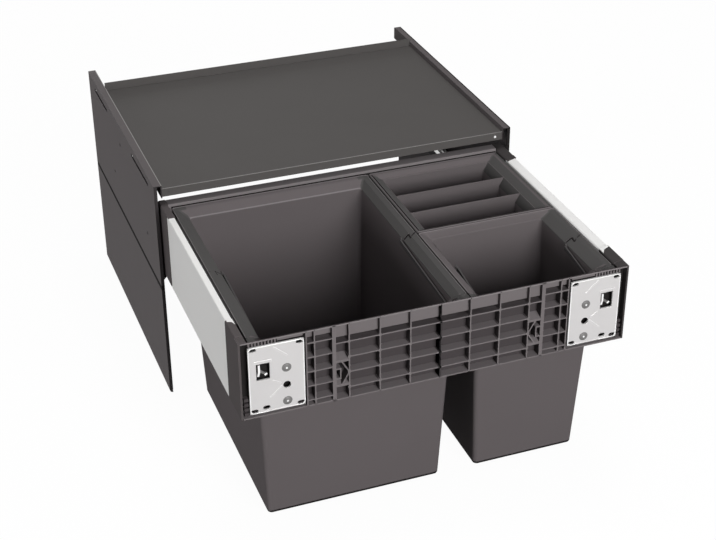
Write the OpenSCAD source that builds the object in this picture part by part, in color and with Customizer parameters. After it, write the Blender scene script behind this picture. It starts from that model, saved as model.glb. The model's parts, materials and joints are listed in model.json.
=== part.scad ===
// Pull-out bin frame for a base cabinet: two sheet side panels under a fixed lid shelf, and a drawer
// on roller runners that carries a large bin, a small bin and an organiser box.
// X is the width, +Y the back, +Z up. The floor of the cabinet is Z = 0, and the drawer stands open.

/* [Side panels] */
// Width over the outer faces of both side panels
unit_w = 562; // [500:1:640]
// Depth of a side panel, front to back
panel_depth = 456; // [445:1:520]
// Height of the side panels
panel_h = 356; // [346:1:380]
// Distance of the joint between the lower and the upper panel below the top edge
joint_drop = 168; // [166:1:172]
// Open joint between the lower and the upper panel
joint_gap = 3; // [2:0.5:5]
// Sheet thickness of the panels
panel_t = 1.5; // [1:0.1:2]
// Width of the inward folds at the front and bottom edges
panel_fold = 5; // [4:0.5:5.5]
// Width of the inward flange along the top edge
flange_w = 12; // [10:0.5:16]
// Height of the lip that hangs from the flange
lip_h = 20; // [19:1:24]
// Distance of the front wall screw hole from the front edge
screw_front = 69; // [60:1:90]
// Spacing of the two lower wall screw holes
screw_pitch = 224; // [192:32:256]
// Height of the two lower wall screw holes above the panel joint
screw_rise = 58; // [47:1:72]
// Distance of the single upper wall screw hole behind the front one
screw_top_back = 160; // [128:32:192]
// Distance of the single upper wall screw hole below the top edge
screw_top_drop = 35; // [30:1:50]
// Diameter of the wall screw holes
screw_hole_d = 5.5; // [4:0.5:6.5]
// Distance of the front long slit from the front edge
front_slit = 37; // [30:1:50]
// Length of the front long slit
front_slit_len = 108; // [90:1:120]
// Distance of the rear long slit from the back edge
rear_slit = 46; // [30:1:60]
// Length of the rear long slit
rear_slit_len = 94; // [80:1:110]
// Distance of the long slits below the top edge
slit_drop = 15; // [12:1:20]
// Opening of the long slits
slit_h = 2; // [1.5:0.5:3]

/* [Lid shelf] */
// Depth of the lid, front to back
lid_depth = 380; // [360:1:420]
// Distance of the lid behind the front edges of the panels
lid_setback = 3; // [2:0.5:6]
// Distance of the lid surface below the tops of the panels
lid_drop = 7; // [4:0.5:8]
// Sheet thickness of the lid
lid_t = 1.2; // [1:0.1:1.6]
// Height of the downward flanges at the front and the sides
lid_skirt = 11; // [10:0.5:12]
// Height of the upstand at the back
lid_back_h = 13; // [8:0.5:18]
// Gap between the lid and each panel lip
lid_gap = 0.2; // [0.1:0.05:0.5]
// Number of lid screws on each side
lid_screw_n = 3; // [2:1:5]
// Distance of the first and last lid screws from the ends of the lid
lid_screw_end = 40; // [25:1:60]
// Distance of the front lid rivets from the sides of the lid
lid_rivet_edge = 12; // [8:0.5:20]

/* [Drawer frame] */
// How far the drawer front stands out of the panels
drawer_out = 391; // [384:1:396]
// Depth of the rear beam, which stays between the panels when the drawer is open
rear_depth = 16; // [12:0.5:20]
// Gap between a side panel and a drawer side
side_gap = 7.5; // [7:0.1:9]
// Width of a drawer side
side_w = 13; // [13:0.1:14]
// Sheet thickness of the drawer sides
side_t = 1; // [0.8:0.1:1.2]
// Height of the lower edge of the drawer sides above the panel joint
side_lift = 18; // [16:0.5:19]
// Height of the drawer sides
side_h = 118; // [112:1:119]
// Rounding along the top edges of the drawer sides
side_round = 2; // [1:0.25:3]
// Length of the front corner pieces, with the beam
front_corner_len = 58; // [45:1:70]
// Length of the rear corner pieces
rear_corner_len = 50; // [40:1:60]
// How far the corner pieces stand proud of the drawer sides
corner_proud = 0.8; // [0.5:0.1:1.2]
// Distance of the side screws from the joints between the sides and the corners
side_screw_end = 15; // [10:0.5:20]
// Sheet thickness of the rear beam
rear_t = 1.5; // [1.2:0.1:2]
// Height of the lower edges of the beams and corners above the drawer sides' lower edge
beam_lift = 2; // [1:0.5:4]
// Height of the front beam
beam_h = 115; // [111:1:116]
// Depth of the front beam
beam_depth = 16; // [14:0.5:18]
// Thickness of the back wall of the front beam
beam_wall = 2.5; // [2:0.1:3]
// How far each end of the front beam lies inside the outer face of the drawer sides
beam_inset = 2; // [1:0.5:4]

/* [Front ribs] */
// Thickness of the ribs
rib_t = 1.8; // [1.4:0.1:2.4]
// Thickness of the two heavy ribs
heavy_rib_t = 5; // [4:0.5:6]
// Diameter of the round bosses on the rib crossings
boss_d = 4.6; // [4:0.2:6]
// Wished spacing of the middle ribs
rib_pitch = 42; // [36:1:50]
// Height of the shallow pockets along the top
top_row = 28; // [24:0.5:32]
// Depth of the shallow pockets along the top
top_row_depth = 9; // [6:0.5:10]
// Height of the other rows between the heavy ribs
row_h = 23.3; // [21:0.1:26]
// Height of the top row outside the heavy ribs
outer_top_row = 19; // [17:0.5:22]
// Height of the other rows outside the heavy ribs
outer_row_h = 21.7; // [20:0.1:23]
// Distance from a heavy rib to the light rib outside it
outer_w = 26; // [22:0.5:30]
// Distance from a heavy rib to the front plate
heavy_to_plate = 40; // [36:0.5:44]
// Width of the braced cell beside a heavy rib
braced_w = 20.5; // [18:0.5:24]
// Height from the middle of a braced cell to its stiff shelves
brace_rise = 18.6; // [16:0.2:20]
// Sideways reach of the diagonal braces
brace_run = 11; // [9:0.5:12]
// Width of the keyhole slot beside a heavy rib
key_w = 5; // [4:0.5:6]
// Height of the keyhole slot beside a heavy rib
key_h = 13; // [10:0.5:16]

/* [Front plates] */
// Width of a front plate
plate_w = 74; // [72:0.5:78]
// Height of a front plate
plate_h = 100; // [98:0.5:104]
// Thickness of a front plate
plate_t = 2.5; // [2:0.1:3]
// How far a front plate stands proud of the beam
plate_proud = 0.5; // [0:0.1:1]
// Distance of a front plate from the end of the beam
plate_edge = 9; // [8:0.5:11]
// Distance of the plate centres below the middle of the beam
plate_drop = 1; // [0:0.5:3]
// Rounding of the plate corners
plate_round = 4; // [3:0.5:5]
// Open recess beside a front plate
plate_recess = 3; // [2:0.5:4]
// Sideways spacing of the four front screw slots
slot_dx = 62; // [58:0.5:63]
// Upright spacing of the four front screw slots
slot_dz = 92; // [88:0.5:93]
// Width of the front screw slots
slot_w = 4.5; // [4:0.25:5]
// Length of the front screw slots
slot_len = 8; // [7:0.25:9]
// Sideways distance of the spare slot from the lower outer slot
spare_dx = 16; // [12:0.5:20]
// Height of the spare slot above the lower outer slot
spare_dz = 3; // [0:0.5:6]
// Width of the adjuster window
window_w = 18; // [16:0.5:19]
// Height of the adjuster window
window_h = 24.5; // [20:0.5:26]
// Distance of the adjuster window from the plate centre, towards the outside
window_dx = 18; // [15:0.5:22]
// Distance of the adjuster window above the plate centre
window_dz = 12; // [8:0.5:16]
// Distance of the rivets from the plate centre, towards the inside
rivet_dx = 13; // [10:0.5:18]
// Distance of the upper rivet above the plate centre
rivet_up = 11.5; // [8:0.5:20]
// Distance of the lower rivet below the plate centre
rivet_down = 39; // [34:0.5:40]
// Distance of the plain hole below the plate centre
plate_hole_down = 14.5; // [12:0.5:20]
// Diameter of the plain hole
plate_hole_d = 8; // [6:0.5:9]
// Diameter of the rivet heads
rivet_d = 11; // [9:0.5:12]
// Height of the rivet heads
rivet_h = 1.5; // [1:0.1:2]
// Diameter of the adjuster head
adjuster_d = 14; // [12:0.5:15]

/* [Bins] */
// Place across the width where the left bin ends and the right bin begins
split_x = 45; // [20:1:70]
// Distance from the back of the front beam to the line between the small bin and the organiser
split_y = 178; // [160:1:200]
// Gap between a bin rim and its neighbour or the frame
rim_gap = 1; // [0.8:0.1:2]
// How far the bin rims lie below the top of the drawer sides
rim_drop = 5; // [3:0.5:7]
// Width of a bin rim
rim_w = 12; // [11:0.5:15]
// Thickness of a bin rim
rim_t = 2.5; // [2:0.1:3]
// Rounding of the rim corners
rim_round = 4; // [2:0.5:6]
// Depth of the collar under the rim, from the top of the rim
collar_h = 22; // [20:0.5:26]
// Wall of the bins
bin_t = 2; // [1.5:0.1:2.5]
// Step from the collar in to the body
bin_step = 3; // [2:0.25:5]
// How far each wall leans in between the collar and the bottom
bin_lean = 14; // [8:0.5:18]
// Height of the bottoms of the bins above the cabinet floor
bin_floor = 12; // [9:1:59]
// Rounding of the upright bin edges
bin_round = 10; // [6:0.5:14]
// Clearance under the bin rims
seat_gap = 0.2; // [0.1:0.05:0.4]
// Width of the ledges that carry the bin rims
ledge_w = 8; // [6:0.5:9]
// Thickness of the ledges
ledge_t = 1.5; // [1.2:0.1:2]
// Height of the ledges' legs on the drawer sides
ledge_leg = 14; // [10:0.5:20]
// Height of the web under the hangers between the bins
hanger_h = 18; // [12:1:24]

/* [Bin handles] */
// Height of the handle strap
strap_h = 15; // [12:0.5:16]
// Thickness of the handle strap
strap_t = 3; // [2.5:0.25:4]
// Gap between the strap and the collar
strap_gap = 0.8; // [0.5:0.1:1]
// Diameter of the handle pins
pin_d = 6; // [5:0.25:8]
// Radial clearance of the handle pins
pin_gap = 0.25; // [0.15:0.05:0.4]

/* [Organiser] */
// Height of the organiser box
organiser_h = 120; // [90:1:180]
// Thickness of the dividers
divider_t = 2; // [1.6:0.1:3]
// Number of slots
slot_n = 3; // [2:1:4]
// How far the dividers lie below the rim
divider_drop = 8; // [4:0.5:14]
// Width of the sloping shoulder at each end of a slot
shoulder_w = 8; // [4:0.5:12]
// Height of the sloping shoulder
shoulder_h = 12; // [8:0.5:20]

/* [Runners] */
// Height of the underside of the cabinet rail above the drawer sides' lower edge
rail_lift = 3; // [2.5:0.1:6]
// Thickness of the rail sheet
rail_t = 1; // [0.8:0.1:1.2]
// Gap between the cabinet rail and each wall of the drawer side
rail_gap = 0.5; // [0.4:0.05:0.7]
// Diameter of the runner rollers
roller_d = 4; // [3.5:0.1:4.2]
// Number of rollers in a cage
roller_n = 8; // [5:1:10]
// Length of a roller cage
cage_len = 150; // [130:1:160]
// Height of a roller cage
cage_h = 2; // [1.5:0.1:2.4]
// Wall of a roller cage at the ends of the rollers
cage_wall = 0.8; // [0.6:0.1:1]
// Thickness of the middle rail flanges
foot_t = 1.2; // [1:0.1:1.5]
// Thickness of the middle rail web
web_t = 1.6; // [1.2:0.1:2]
// Gap beside the middle rail web, in the mouths of the other rails
mouth_gap = 1; // [0.6:0.1:1.2]
// Clearance between running faces
run_gap = 0.2; // [0.15:0.05:0.3]
// Height of the gap between the cabinet rail and the drawer rail
rail_space = 3.7; // [3:0.1:5]
// Distance of the cabinet rail from the front edge of the panels
rail_front = 20; // [19:0.5:26]
// Length of the cabinet rail
rail_len = 420; // [400:1:422]
// Length of the middle rail
middle_len = 390; // [380:1:400]
// How far the middle and drawer rails start behind the cabinet rail when closed
rail_lead = 2; // [1:0.5:4]
// Distance of the drawer rail from the back of the drawer
rail_tail = 12; // [8:0.5:16]
// Thickness of the rail bracket
bracket_t = 2; // [1.5:0.1:2.2]
// Reach of the bracket flange above and below the panel joint
bracket_reach = 14; // [12:0.5:16]
// Height of the bracket arm's foot below the panel joint
arm_drop = 4; // [2:0.5:6]
// Distance of the bracket rivets from the panel edges
bracket_rivet_edge = 6; // [5:0.5:7]
// Distance of the outer bracket rivets from the ends of the bracket
bracket_rivet_end = 10; // [6:0.5:20]

/* [Hidden] */
$fn = 48;
SIDES = ["left", "right"];

// Colours
panel_colour = "#4f4a4b";
plastic_colour = "#5a5557";
dark_colour = "#343233";
white_colour = "#e9e8e5";
zinc_colour = "#c9c9c7";

// Small fasteners, and the overshoot of cuts
screw_d = 3;
screw_head_d = 6;
screw_head_h = 1.6;
flat_head_h = 1;
fit_gap = 0.1;
bore_gap = 0.3;
cut = 1;

// Depth layout, with the middle of the open unit at Y = 0
front_reach = drawer_out + plate_proud + rivet_h;
panel_y = (front_reach - panel_depth) / 2;
panel_back = panel_y + panel_depth;
drawer_y = panel_y - drawer_out;
beam_back = drawer_y + beam_depth;
rear_y = panel_y;
drawer_back = rear_y + rear_depth;
lid_y = panel_y + lid_setback;
lid_back = lid_y + lid_depth;

// Width layout, for the right side
half_w = unit_w / 2;
wall_x = half_w - panel_t;
lip_x = half_w - flange_w;
lid_half = lip_x - lid_gap;
side_out = wall_x - side_gap;
side_in = side_out - side_w;
runner_x = (side_in + side_out) / 2;
cavity = side_w - 2 * side_t;
beam_half = side_out - beam_inset;
corner_in = side_in - corner_proud;

// Heights
joint_z = panel_h - joint_drop;
side_z = joint_z + side_lift;
side_top = side_z + side_h;
beam_z = side_z + beam_lift;
beam_top = beam_z + beam_h;
rail_z = side_z + rail_lift;
rim_top = side_top - rim_drop;
bin_h = rim_top - bin_floor;
ledge_top = rim_top - rim_t - seat_gap;
lid_z = panel_h - lid_drop;
lid_screw_z = lid_z - (lid_skirt + lid_t) / 2;

// Runner section, heights above the underside of the cabinet rail
lower_roller_z = rail_t + run_gap;
foot_z = lower_roller_z + roller_d + run_gap;
lip_z = foot_z + foot_t + run_gap;
rail_h = lip_z + rail_t;
upper_lip_z = rail_h + rail_space;
head_z = upper_lip_z + rail_t + run_gap;
upper_roller_z = head_z + foot_t + run_gap;
roof_z = upper_roller_z + roller_d + run_gap;
drawer_rail_h = roof_z + rail_t - upper_lip_z;
rail_half = cavity / 2 - rail_gap;
rail_mouth = web_t / 2 + mouth_gap;
foot_half = rail_half - rail_t - 2 * run_gap;
roller_len = 2 * (foot_half - cage_wall - run_gap);
roller_pitch = cage_len / roller_n;

// Runner lengths, with the drawer open
rail_y = panel_y + rail_front;
rail_back = rail_y + rail_len;
middle_y = rail_y + rail_lead - drawer_out / 2;
middle_back = middle_y + middle_len;
drawer_rail_y = drawer_y + rail_front + rail_lead;
drawer_rail_back = drawer_back - rail_tail;
lower_cage_y = (rail_y + middle_back - cage_len) / 2;
upper_cage_y = (middle_y + drawer_rail_back - cage_len) / 2;

// Bin layout: each bin is given by the corners of its rim
rim_side = corner_in - rim_gap;
rim_front = beam_back + rim_gap;
rim_back = rear_y - rim_gap;
cross_y = beam_back + split_y;
left_rim = [[-rim_side, rim_front], [split_x - rim_gap, rim_back]];
right_rim = [[split_x + rim_gap, rim_front], [rim_side, cross_y - rim_gap]];
organiser_rim = [[split_x + rim_gap, cross_y + rim_gap], [rim_side, rim_back]];
pivot_z = rim_top - (collar_h + rim_t) / 2;

// Front plate layout
plate_x = beam_half - plate_edge - plate_w / 2;
plate_z = beam_z + beam_h / 2 - plate_drop;
plate_y = drawer_y - plate_proud;
plate_back = plate_y + plate_t;
window_x = plate_x + window_dx;
window_z = plate_z + window_dz;
rivet_x = plate_x - rivet_dx;
rivet_zs = [plate_z + rivet_up, plate_z - rivet_down];
rivet_boss_d = 15;
rivet_shank_d = 5;

// Shapes that repeat
function arc(cx, cy, r, from, to, n = 6) = [for (i = [0:n]) let (a = from + (to - from) * i / n)
    [cx + r * cos(a), cy + r * sin(a)]];
function round_rect(x0, y0, x1, y1, r) = concat(
    arc(x1 - r, y0 + r, r, -90, 0), arc(x1 - r, y1 - r, r, 0, 90),
    arc(x0 + r, y1 - r, r, 90, 180), arc(x0 + r, y0 + r, r, 180, 270));
module box(from, to) { translate(from) cube(to - from); }
module at_side(side) { mirror([side == "left" ? 1 : 0, 0, 0]) children(); }
module along_y(y0, y1) { translate([0, y1, 0]) rotate([90, 0, 0]) linear_extrude(y1 - y0) children(); }
module along_x(x0, x1) { translate([x0, 0, 0]) rotate([90, 0, 90]) linear_extrude(x1 - x0) children(); }
module rod_x(x0, x1, y, z, d) { translate([x0, y, z]) rotate([0, 90, 0]) cylinder(h = x1 - x0, d = d); }
module rod_y(x, y0, y1, z, d) { translate([x, y1, z]) rotate([90, 0, 0]) cylinder(h = y1 - y0, d = d); }
module rect2(x0, y0, x1, y1) { translate([x0, y0]) square([x1 - x0, y1 - y0]); }

// Side panels
lid_screw_step = (lid_depth - 2 * lid_screw_end) / (lid_screw_n - 1);
lid_screw_ys = [for (i = [0:lid_screw_n - 1]) lid_y + lid_screw_end + i * lid_screw_step];
bracket_rivet_ys = [rail_y + bracket_rivet_end, rail_y + rail_len / 2, rail_back - bracket_rivet_end];
bracket_rivet_off = joint_gap / 2 + bracket_rivet_edge;
bracket_rivet_zs = [joint_z - bracket_rivet_off, joint_z + bracket_rivet_off];
slit_z = panel_h - slit_drop;
slit_runs = [[panel_y + front_slit, panel_y + front_slit + front_slit_len],
    [panel_back - rear_slit - rear_slit_len, panel_back - rear_slit]];
screw_z = joint_z + screw_rise;
wall_screws = [[screw_front, screw_z], [screw_front + screw_pitch, screw_z],
    [screw_front + screw_top_back, panel_h - screw_top_drop]];
fold_flat = 1;

module bracket_rivet_holes() {
    for (y = bracket_rivet_ys, z = bracket_rivet_zs)
        rod_x(wall_x - bracket_t - cut, half_w + cut, y, z, screw_d + 2 * fit_gap);
}

module lid_screw_holes() {
    for (y = lid_screw_ys)
        rod_x(lid_half - lid_t - cut, lip_x + panel_t + cut, y, lid_screw_z, screw_d + 2 * fit_gap);
}

module upper_panel(side) {
    foot = joint_z + joint_gap / 2;
    color(panel_colour) at_side(side) difference() {
        union() {
            along_y(panel_y, panel_back) {
                rect2(wall_x, foot, half_w, panel_h);
                rect2(lip_x, panel_h - panel_t, half_w, panel_h);
                rect2(lip_x, panel_h - lip_h, lip_x + panel_t, panel_h);
            }
            box([half_w - panel_fold, panel_y, foot], [half_w, panel_y + panel_t, panel_h]);
        }
        for (s = wall_screws) rod_x(wall_x - cut, half_w + cut, panel_y + s[0], s[1], screw_hole_d);
        for (run = slit_runs) box([wall_x - cut, run[0], slit_z], [half_w + cut, run[1], slit_z + slit_h]);
        lid_screw_holes();
        bracket_rivet_holes();
    }
}

module lower_panel(side) {
    top = joint_z - joint_gap / 2;
    bend = panel_fold - fold_flat;
    centre = [half_w - bend, bend];
    color(panel_colour) at_side(side) difference() {
        union() {
            along_y(panel_y, panel_back) difference() {
                union() {
                    rect2(wall_x, bend, half_w, top);
                    rect2(half_w - panel_fold, 0, half_w - bend, panel_t);
                    polygon(concat([centre], arc(centre.x, centre.y, bend, -90, 0)));
                }
                polygon(concat([centre], arc(centre.x, centre.y, bend - panel_t, -90, 0)));
            }
            box([half_w - panel_fold, panel_y, bend], [half_w, panel_y + panel_t, top]);
        }
        bracket_rivet_holes();
    }
}

// Lid shelf and its fasteners
lid_rivet_x = lid_half - lid_rivet_edge;

module lid_shelf() {
    skirt_z = lid_z - lid_skirt;
    color(panel_colour) difference() {
        union() {
            box([-lid_half, lid_y, lid_z - lid_t], [lid_half, lid_back, lid_z]);
            box([-lid_half, lid_y, skirt_z], [lid_half, lid_y + lid_t, lid_z]);
            box([-lid_half, lid_back - lid_t, skirt_z], [lid_half, lid_back, lid_z + lid_back_h]);
            for (s = SIDES) at_side(s)
                box([lid_half - lid_t, lid_y, skirt_z], [lid_half, lid_back, lid_z]);
        }
        for (s = SIDES) at_side(s) {
            lid_screw_holes();
            rod_y(lid_rivet_x, lid_y - cut, lid_y + lid_t + cut, lid_screw_z, screw_d + 2 * fit_gap);
        }
    }
}

module lid_screws() {
    seat = lid_half - lid_t;
    color(dark_colour) for (s = SIDES) at_side(s) for (y = lid_screw_ys) {
        rod_x(seat - screw_head_h, seat, y, lid_screw_z, screw_head_d);
        rod_x(seat - screw_head_h, lip_x + panel_t, y, lid_screw_z, screw_d);
    }
}

module lid_rivets() {
    color(zinc_colour) for (s = SIDES) at_side(s) {
        rod_y(lid_rivet_x, lid_y - flat_head_h, lid_y, lid_screw_z, screw_head_d);
        rod_y(lid_rivet_x, lid_y - flat_head_h, lid_y + lid_t, lid_screw_z, screw_d);
    }
}

// Runners
module rail_bracket(side) {
    flange_x = wall_x - bracket_t;
    stem = bracket_t / 2;
    foot = joint_z - arm_drop;
    head = foot + flange_x - runner_x + stem;
    color(dark_colour) at_side(side) difference() {
        along_y(rail_y, rail_back) {
            rect2(flange_x, joint_z - bracket_reach, wall_x, joint_z + bracket_reach);
            polygon([[flange_x + stem, foot - stem], [flange_x + stem, foot + bracket_t],
                [runner_x + stem, head + bracket_t], [runner_x - stem, head + bracket_t],
                [runner_x - stem, head]]);
            rect2(runner_x - stem, head, runner_x + stem, rail_z);
            rect2(runner_x - rail_half, rail_z - bracket_t, runner_x + rail_half, rail_z);
        }
        bracket_rivet_holes();
    }
}

module bracket_rivets() {
    seat = wall_x - bracket_t;
    color(dark_colour) for (s = SIDES) at_side(s) for (y = bracket_rivet_ys, z = bracket_rivet_zs) {
        rod_x(seat - flat_head_h, seat, y, z, screw_head_d);
        rod_x(seat - flat_head_h, half_w, y, z, screw_d);
    }
}

module channel(height, outer, mouth_z) {
    difference() {
        rect2(-outer, 0, outer, height);
        rect2(-rail_half + rail_t, rail_t, rail_half - rail_t, height - rail_t);
        rect2(-rail_mouth, mouth_z - cut, rail_mouth, mouth_z + rail_t + cut);
    }
}

module cabinet_rail(side) {
    color(zinc_colour) at_side(side) along_y(rail_y, rail_back)
        translate([runner_x, rail_z]) channel(rail_h, rail_half, rail_h - rail_t);
}

module drawer_rail(side) {
    color(zinc_colour) at_side(side) difference() {
        along_y(drawer_rail_y, drawer_rail_back)
            translate([runner_x, rail_z + upper_lip_z]) channel(drawer_rail_h, cavity / 2, 0);
        side_screw_holes();
    }
}

module middle_rail(side) {
    color(zinc_colour) at_side(side) along_y(middle_y, middle_back) translate([runner_x, rail_z]) {
        rect2(-foot_half, foot_z, foot_half, foot_z + foot_t);
        rect2(-web_t / 2, foot_z, web_t / 2, head_z + foot_t);
        rect2(-foot_half, head_z, foot_half, head_z + foot_t);
    }
}

module roller_cage(y, z) {
    middle = rail_z + z + roller_d / 2;
    window = [roller_len + 2 * run_gap, roller_d + 2 * run_gap, cage_h + 2 * cut];
    difference() {
        box([runner_x - foot_half, y, middle - cage_h / 2],
            [runner_x + foot_half, y + cage_len, middle + cage_h / 2]);
        for (i = [0:roller_n - 1]) translate([runner_x, y + (i + 0.5) * roller_pitch, middle])
            cube(window, center = true);
    }
}

module rollers(y, z) {
    for (i = [0:roller_n - 1]) rod_x(runner_x - roller_len / 2, runner_x + roller_len / 2,
        y + (i + 0.5) * roller_pitch, rail_z + z + roller_d / 2, roller_d);
}

module lower_cage(side) { color(dark_colour) at_side(side) roller_cage(lower_cage_y, lower_roller_z); }
module lower_rollers(side) { color(zinc_colour) at_side(side) rollers(lower_cage_y, lower_roller_z); }
module upper_cage(side) { color(dark_colour) at_side(side) roller_cage(upper_cage_y, upper_roller_z); }
module upper_rollers(side) { color(zinc_colour) at_side(side) rollers(upper_cage_y, upper_roller_z); }

// Drawer sides and corners
side_y0 = drawer_y + front_corner_len;
side_y1 = drawer_back - rear_corner_len;
side_screw_z = rail_z + upper_lip_z + drawer_rail_h / 2;
corner_screw_ys = [side_y0 - side_screw_end, side_y1 + side_screw_end];
wall_screw_ys = [side_y0 + side_screw_end, side_y1 - side_screw_end];

module side_screw_holes() {
    for (y = concat(corner_screw_ys, wall_screw_ys))
        rod_x(corner_in - cut, runner_x - rail_half + rail_t + cut, y, side_screw_z, screw_d + 2 * fit_gap);
}

module side_screw(y, seat) {
    rod_x(seat - screw_head_h, seat, y, side_screw_z, screw_head_d);
    rod_x(seat - screw_head_h, side_in + side_t + rail_t, y, side_screw_z, screw_d);
}

module side_screws() {
    color(dark_colour) for (s = SIDES) at_side(s) {
        for (y = corner_screw_ys) side_screw(y, corner_in);
        for (y = wall_screw_ys) side_screw(y, side_in);
    }
}

module hollow_side(x0, x1, z0, z1) {
    difference() {
        polygon(concat([[x0, z0], [x1, z0]], arc(x1 - side_round, z1 - side_round, side_round, 0, 90),
            arc(x0 + side_round, z1 - side_round, side_round, 90, 180)));
        rect2(runner_x - cavity / 2, z0 - cut, runner_x + cavity / 2, side_top - side_t);
    }
}

module drawer_side(side) {
    color(white_colour) at_side(side) difference() {
        along_y(side_y0, side_y1) hollow_side(side_in, side_out, side_z, side_top);
        side_screw_holes();
    }
}

module corner(side, y0, y1) {
    color(plastic_colour) at_side(side) difference() {
        along_y(y0, y1) hollow_side(corner_in, side_out + corner_proud, beam_z, side_top + corner_proud);
        side_screw_holes();
    }
}

module front_corner(side) { corner(side, beam_back, side_y0); }
module rear_corner(side) { corner(side, side_y1, drawer_back); }

// Front beam: a rib face in front of a back wall, the same on both halves
heavy_x = plate_x - plate_w / 2 - heavy_to_plate;
heavy_in = heavy_x - heavy_rib_t / 2;
braced_x = heavy_x - braced_w;
middle_n = max(1, round(braced_x / rib_pitch));
recess_x = plate_x - plate_w / 2 - plate_recess;
rib_xs = [for (i = [0:middle_n]) braced_x * i / middle_n];
outer_xs = [heavy_x, heavy_x + outer_w, recess_x];
least_row = 7;
function row_edges(first, step) = concat([beam_top],
    [for (z = beam_top - first; z > beam_z + least_row; z = z - step) z], [beam_z]);
middle_rows = row_edges(top_row, row_h);
outer_rows = row_edges(outer_top_row, outer_row_h);
brace_z = middle_rows[3];

module pockets(xs, zs, first_half, last_half) {
    half = rib_t / 2;
    for (i = [0:len(xs) - 2], j = [0:len(zs) - 2]) {
        left = xs[i] + (i == 0 ? first_half : half);
        right = xs[i + 1] - (i == len(xs) - 2 ? last_half : half);
        low = zs[j + 1] + (j == len(zs) - 2 ? rib_t : half);
        high = zs[j] - (j == 0 ? rib_t : half);
        rect2(left, low, right, high);
    }
}

module braced_cell() {
    difference() {
        rect2(braced_x + rib_t / 2, beam_z + rib_t, heavy_in, middle_rows[1] - rib_t / 2);
        for (s = [-1, 1]) {
            shelf = brace_z + s * brace_rise;
            rect2(braced_x, shelf - rib_t, heavy_x, shelf + rib_t);
            polygon([[braced_x, brace_z - s * rib_t / 2], [braced_x, brace_z + s * rib_t],
                [braced_x + brace_run - rib_t, shelf], [braced_x + brace_run + rib_t, shelf]]);
        }
        rect2(heavy_in - key_w - rib_t, brace_z - key_h / 2 - rib_t, heavy_x, brace_z + key_h / 2 + rib_t);
    }
    rect2(heavy_in - key_w, brace_z - key_h / 2, heavy_in, brace_z + key_h / 2);
    rect2(braced_x + rib_t / 2, middle_rows[1] + rib_t / 2, heavy_in, beam_top - rib_t);
}

module rib_face() {
    difference() {
        rect2(0, beam_z, beam_half, beam_top);
        pockets(rib_xs, middle_rows, rib_t / 2, rib_t / 2);
        pockets(outer_xs, outer_rows, heavy_rib_t / 2, -rib_t / 2);
        rect2(recess_x, beam_z + rib_t, beam_half - rib_t, beam_top - rib_t);
        braced_cell();
    }
    for (x = rib_xs, j = [1:len(middle_rows) - 2]) intersection() {
        translate([x, middle_rows[j]]) circle(d = boss_d);
        rect2(0, beam_z, beam_half, beam_top);
    }
}

module front_beam() {
    web_y = beam_back - beam_wall;
    shallow_y = drawer_y + top_row_depth;
    color(plastic_colour) difference() {
        union() {
            for (s = SIDES) at_side(s) {
                along_y(drawer_y, web_y) rib_face();
                for (z = rivet_zs) rod_y(rivet_x, plate_back, web_y, z, rivet_boss_d);
                box([heavy_x, shallow_y, beam_top - outer_top_row], [recess_x, web_y, beam_top]);
            }
            box([-heavy_x, shallow_y, beam_top - top_row], [heavy_x, web_y, beam_top]);
            box([-beam_half, web_y, beam_z], [beam_half, beam_back, beam_top]);
            box([-corner_in, beam_back, ledge_top - 2 * ledge_t], [corner_in, beam_back + ledge_w, ledge_top]);
        }
        for (s = SIDES) at_side(s) {
            for (z = rivet_zs) rod_y(rivet_x, plate_back - cut, web_y, z, rivet_shank_d + 2 * fit_gap);
            rod_y(window_x, web_y - cut, beam_back + cut, window_z, adjuster_shank_d + 2 * bore_gap);
            box([plate_x - plate_w / 2 - fit_gap, drawer_y - cut, plate_z - plate_h / 2 - fit_gap],
                [plate_x + plate_w / 2 + fit_gap, plate_back, plate_z + plate_h / 2 + fit_gap]);
        }
    }
}

// Front plates
module slot2(x, z) {
    straight = slot_len - slot_w;
    translate([x, z]) square([straight, slot_w], center = true);
    for (s = [-1, 1]) translate([x + s * straight / 2, z]) circle(d = slot_w);
}

module front_plate(side) {
    slot_x = plate_x + slot_dx / 2;
    slot_z = plate_z - slot_dz / 2;
    color(zinc_colour) at_side(side) along_y(plate_y, plate_back) difference() {
        polygon(round_rect(plate_x - plate_w / 2, plate_z - plate_h / 2, plate_x + plate_w / 2,
            plate_z + plate_h / 2, plate_round));
        for (dx = [0, slot_dx], dz = [0, slot_dz]) slot2(slot_x - dx, slot_z + dz);
        slot2(slot_x - spare_dx, slot_z + spare_dz);
        translate([window_x, window_z]) square([window_w, window_h], center = true);
        translate([rivet_x, plate_z - plate_hole_down]) circle(d = plate_hole_d);
        for (z = rivet_zs) translate([rivet_x, z]) circle(d = rivet_shank_d + 2 * fit_gap);
    }
}

module plate_rivets() {
    color(zinc_colour) for (s = SIDES) at_side(s) for (z = rivet_zs) {
        translate([rivet_x, plate_y, z]) rotate([90, 0, 0])
            cylinder(h = rivet_h, d1 = rivet_d, d2 = rivet_shank_d);
        rod_y(rivet_x, plate_y, beam_back - beam_wall, z, rivet_shank_d);
    }
}

// Height adjusters: a headed pin with a cross recess behind each window
adjuster_shank_d = 5;
adjuster_head = 5;
adjuster_gap = 1;
cross_w = 1.6;
cross_len = 8.4;

module height_adjuster(side) {
    front = plate_back + adjuster_gap;
    color(zinc_colour) at_side(side) difference() {
        union() {
            rod_y(window_x, front, front + adjuster_head, window_z, adjuster_d);
            rod_y(window_x, front, beam_back, window_z, adjuster_shank_d);
        }
        for (a = [0, 90]) translate([window_x, front, window_z]) rotate([0, a, 0])
            cube([cross_len, 2 * cross_w, cross_w], center = true);
    }
}

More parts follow.
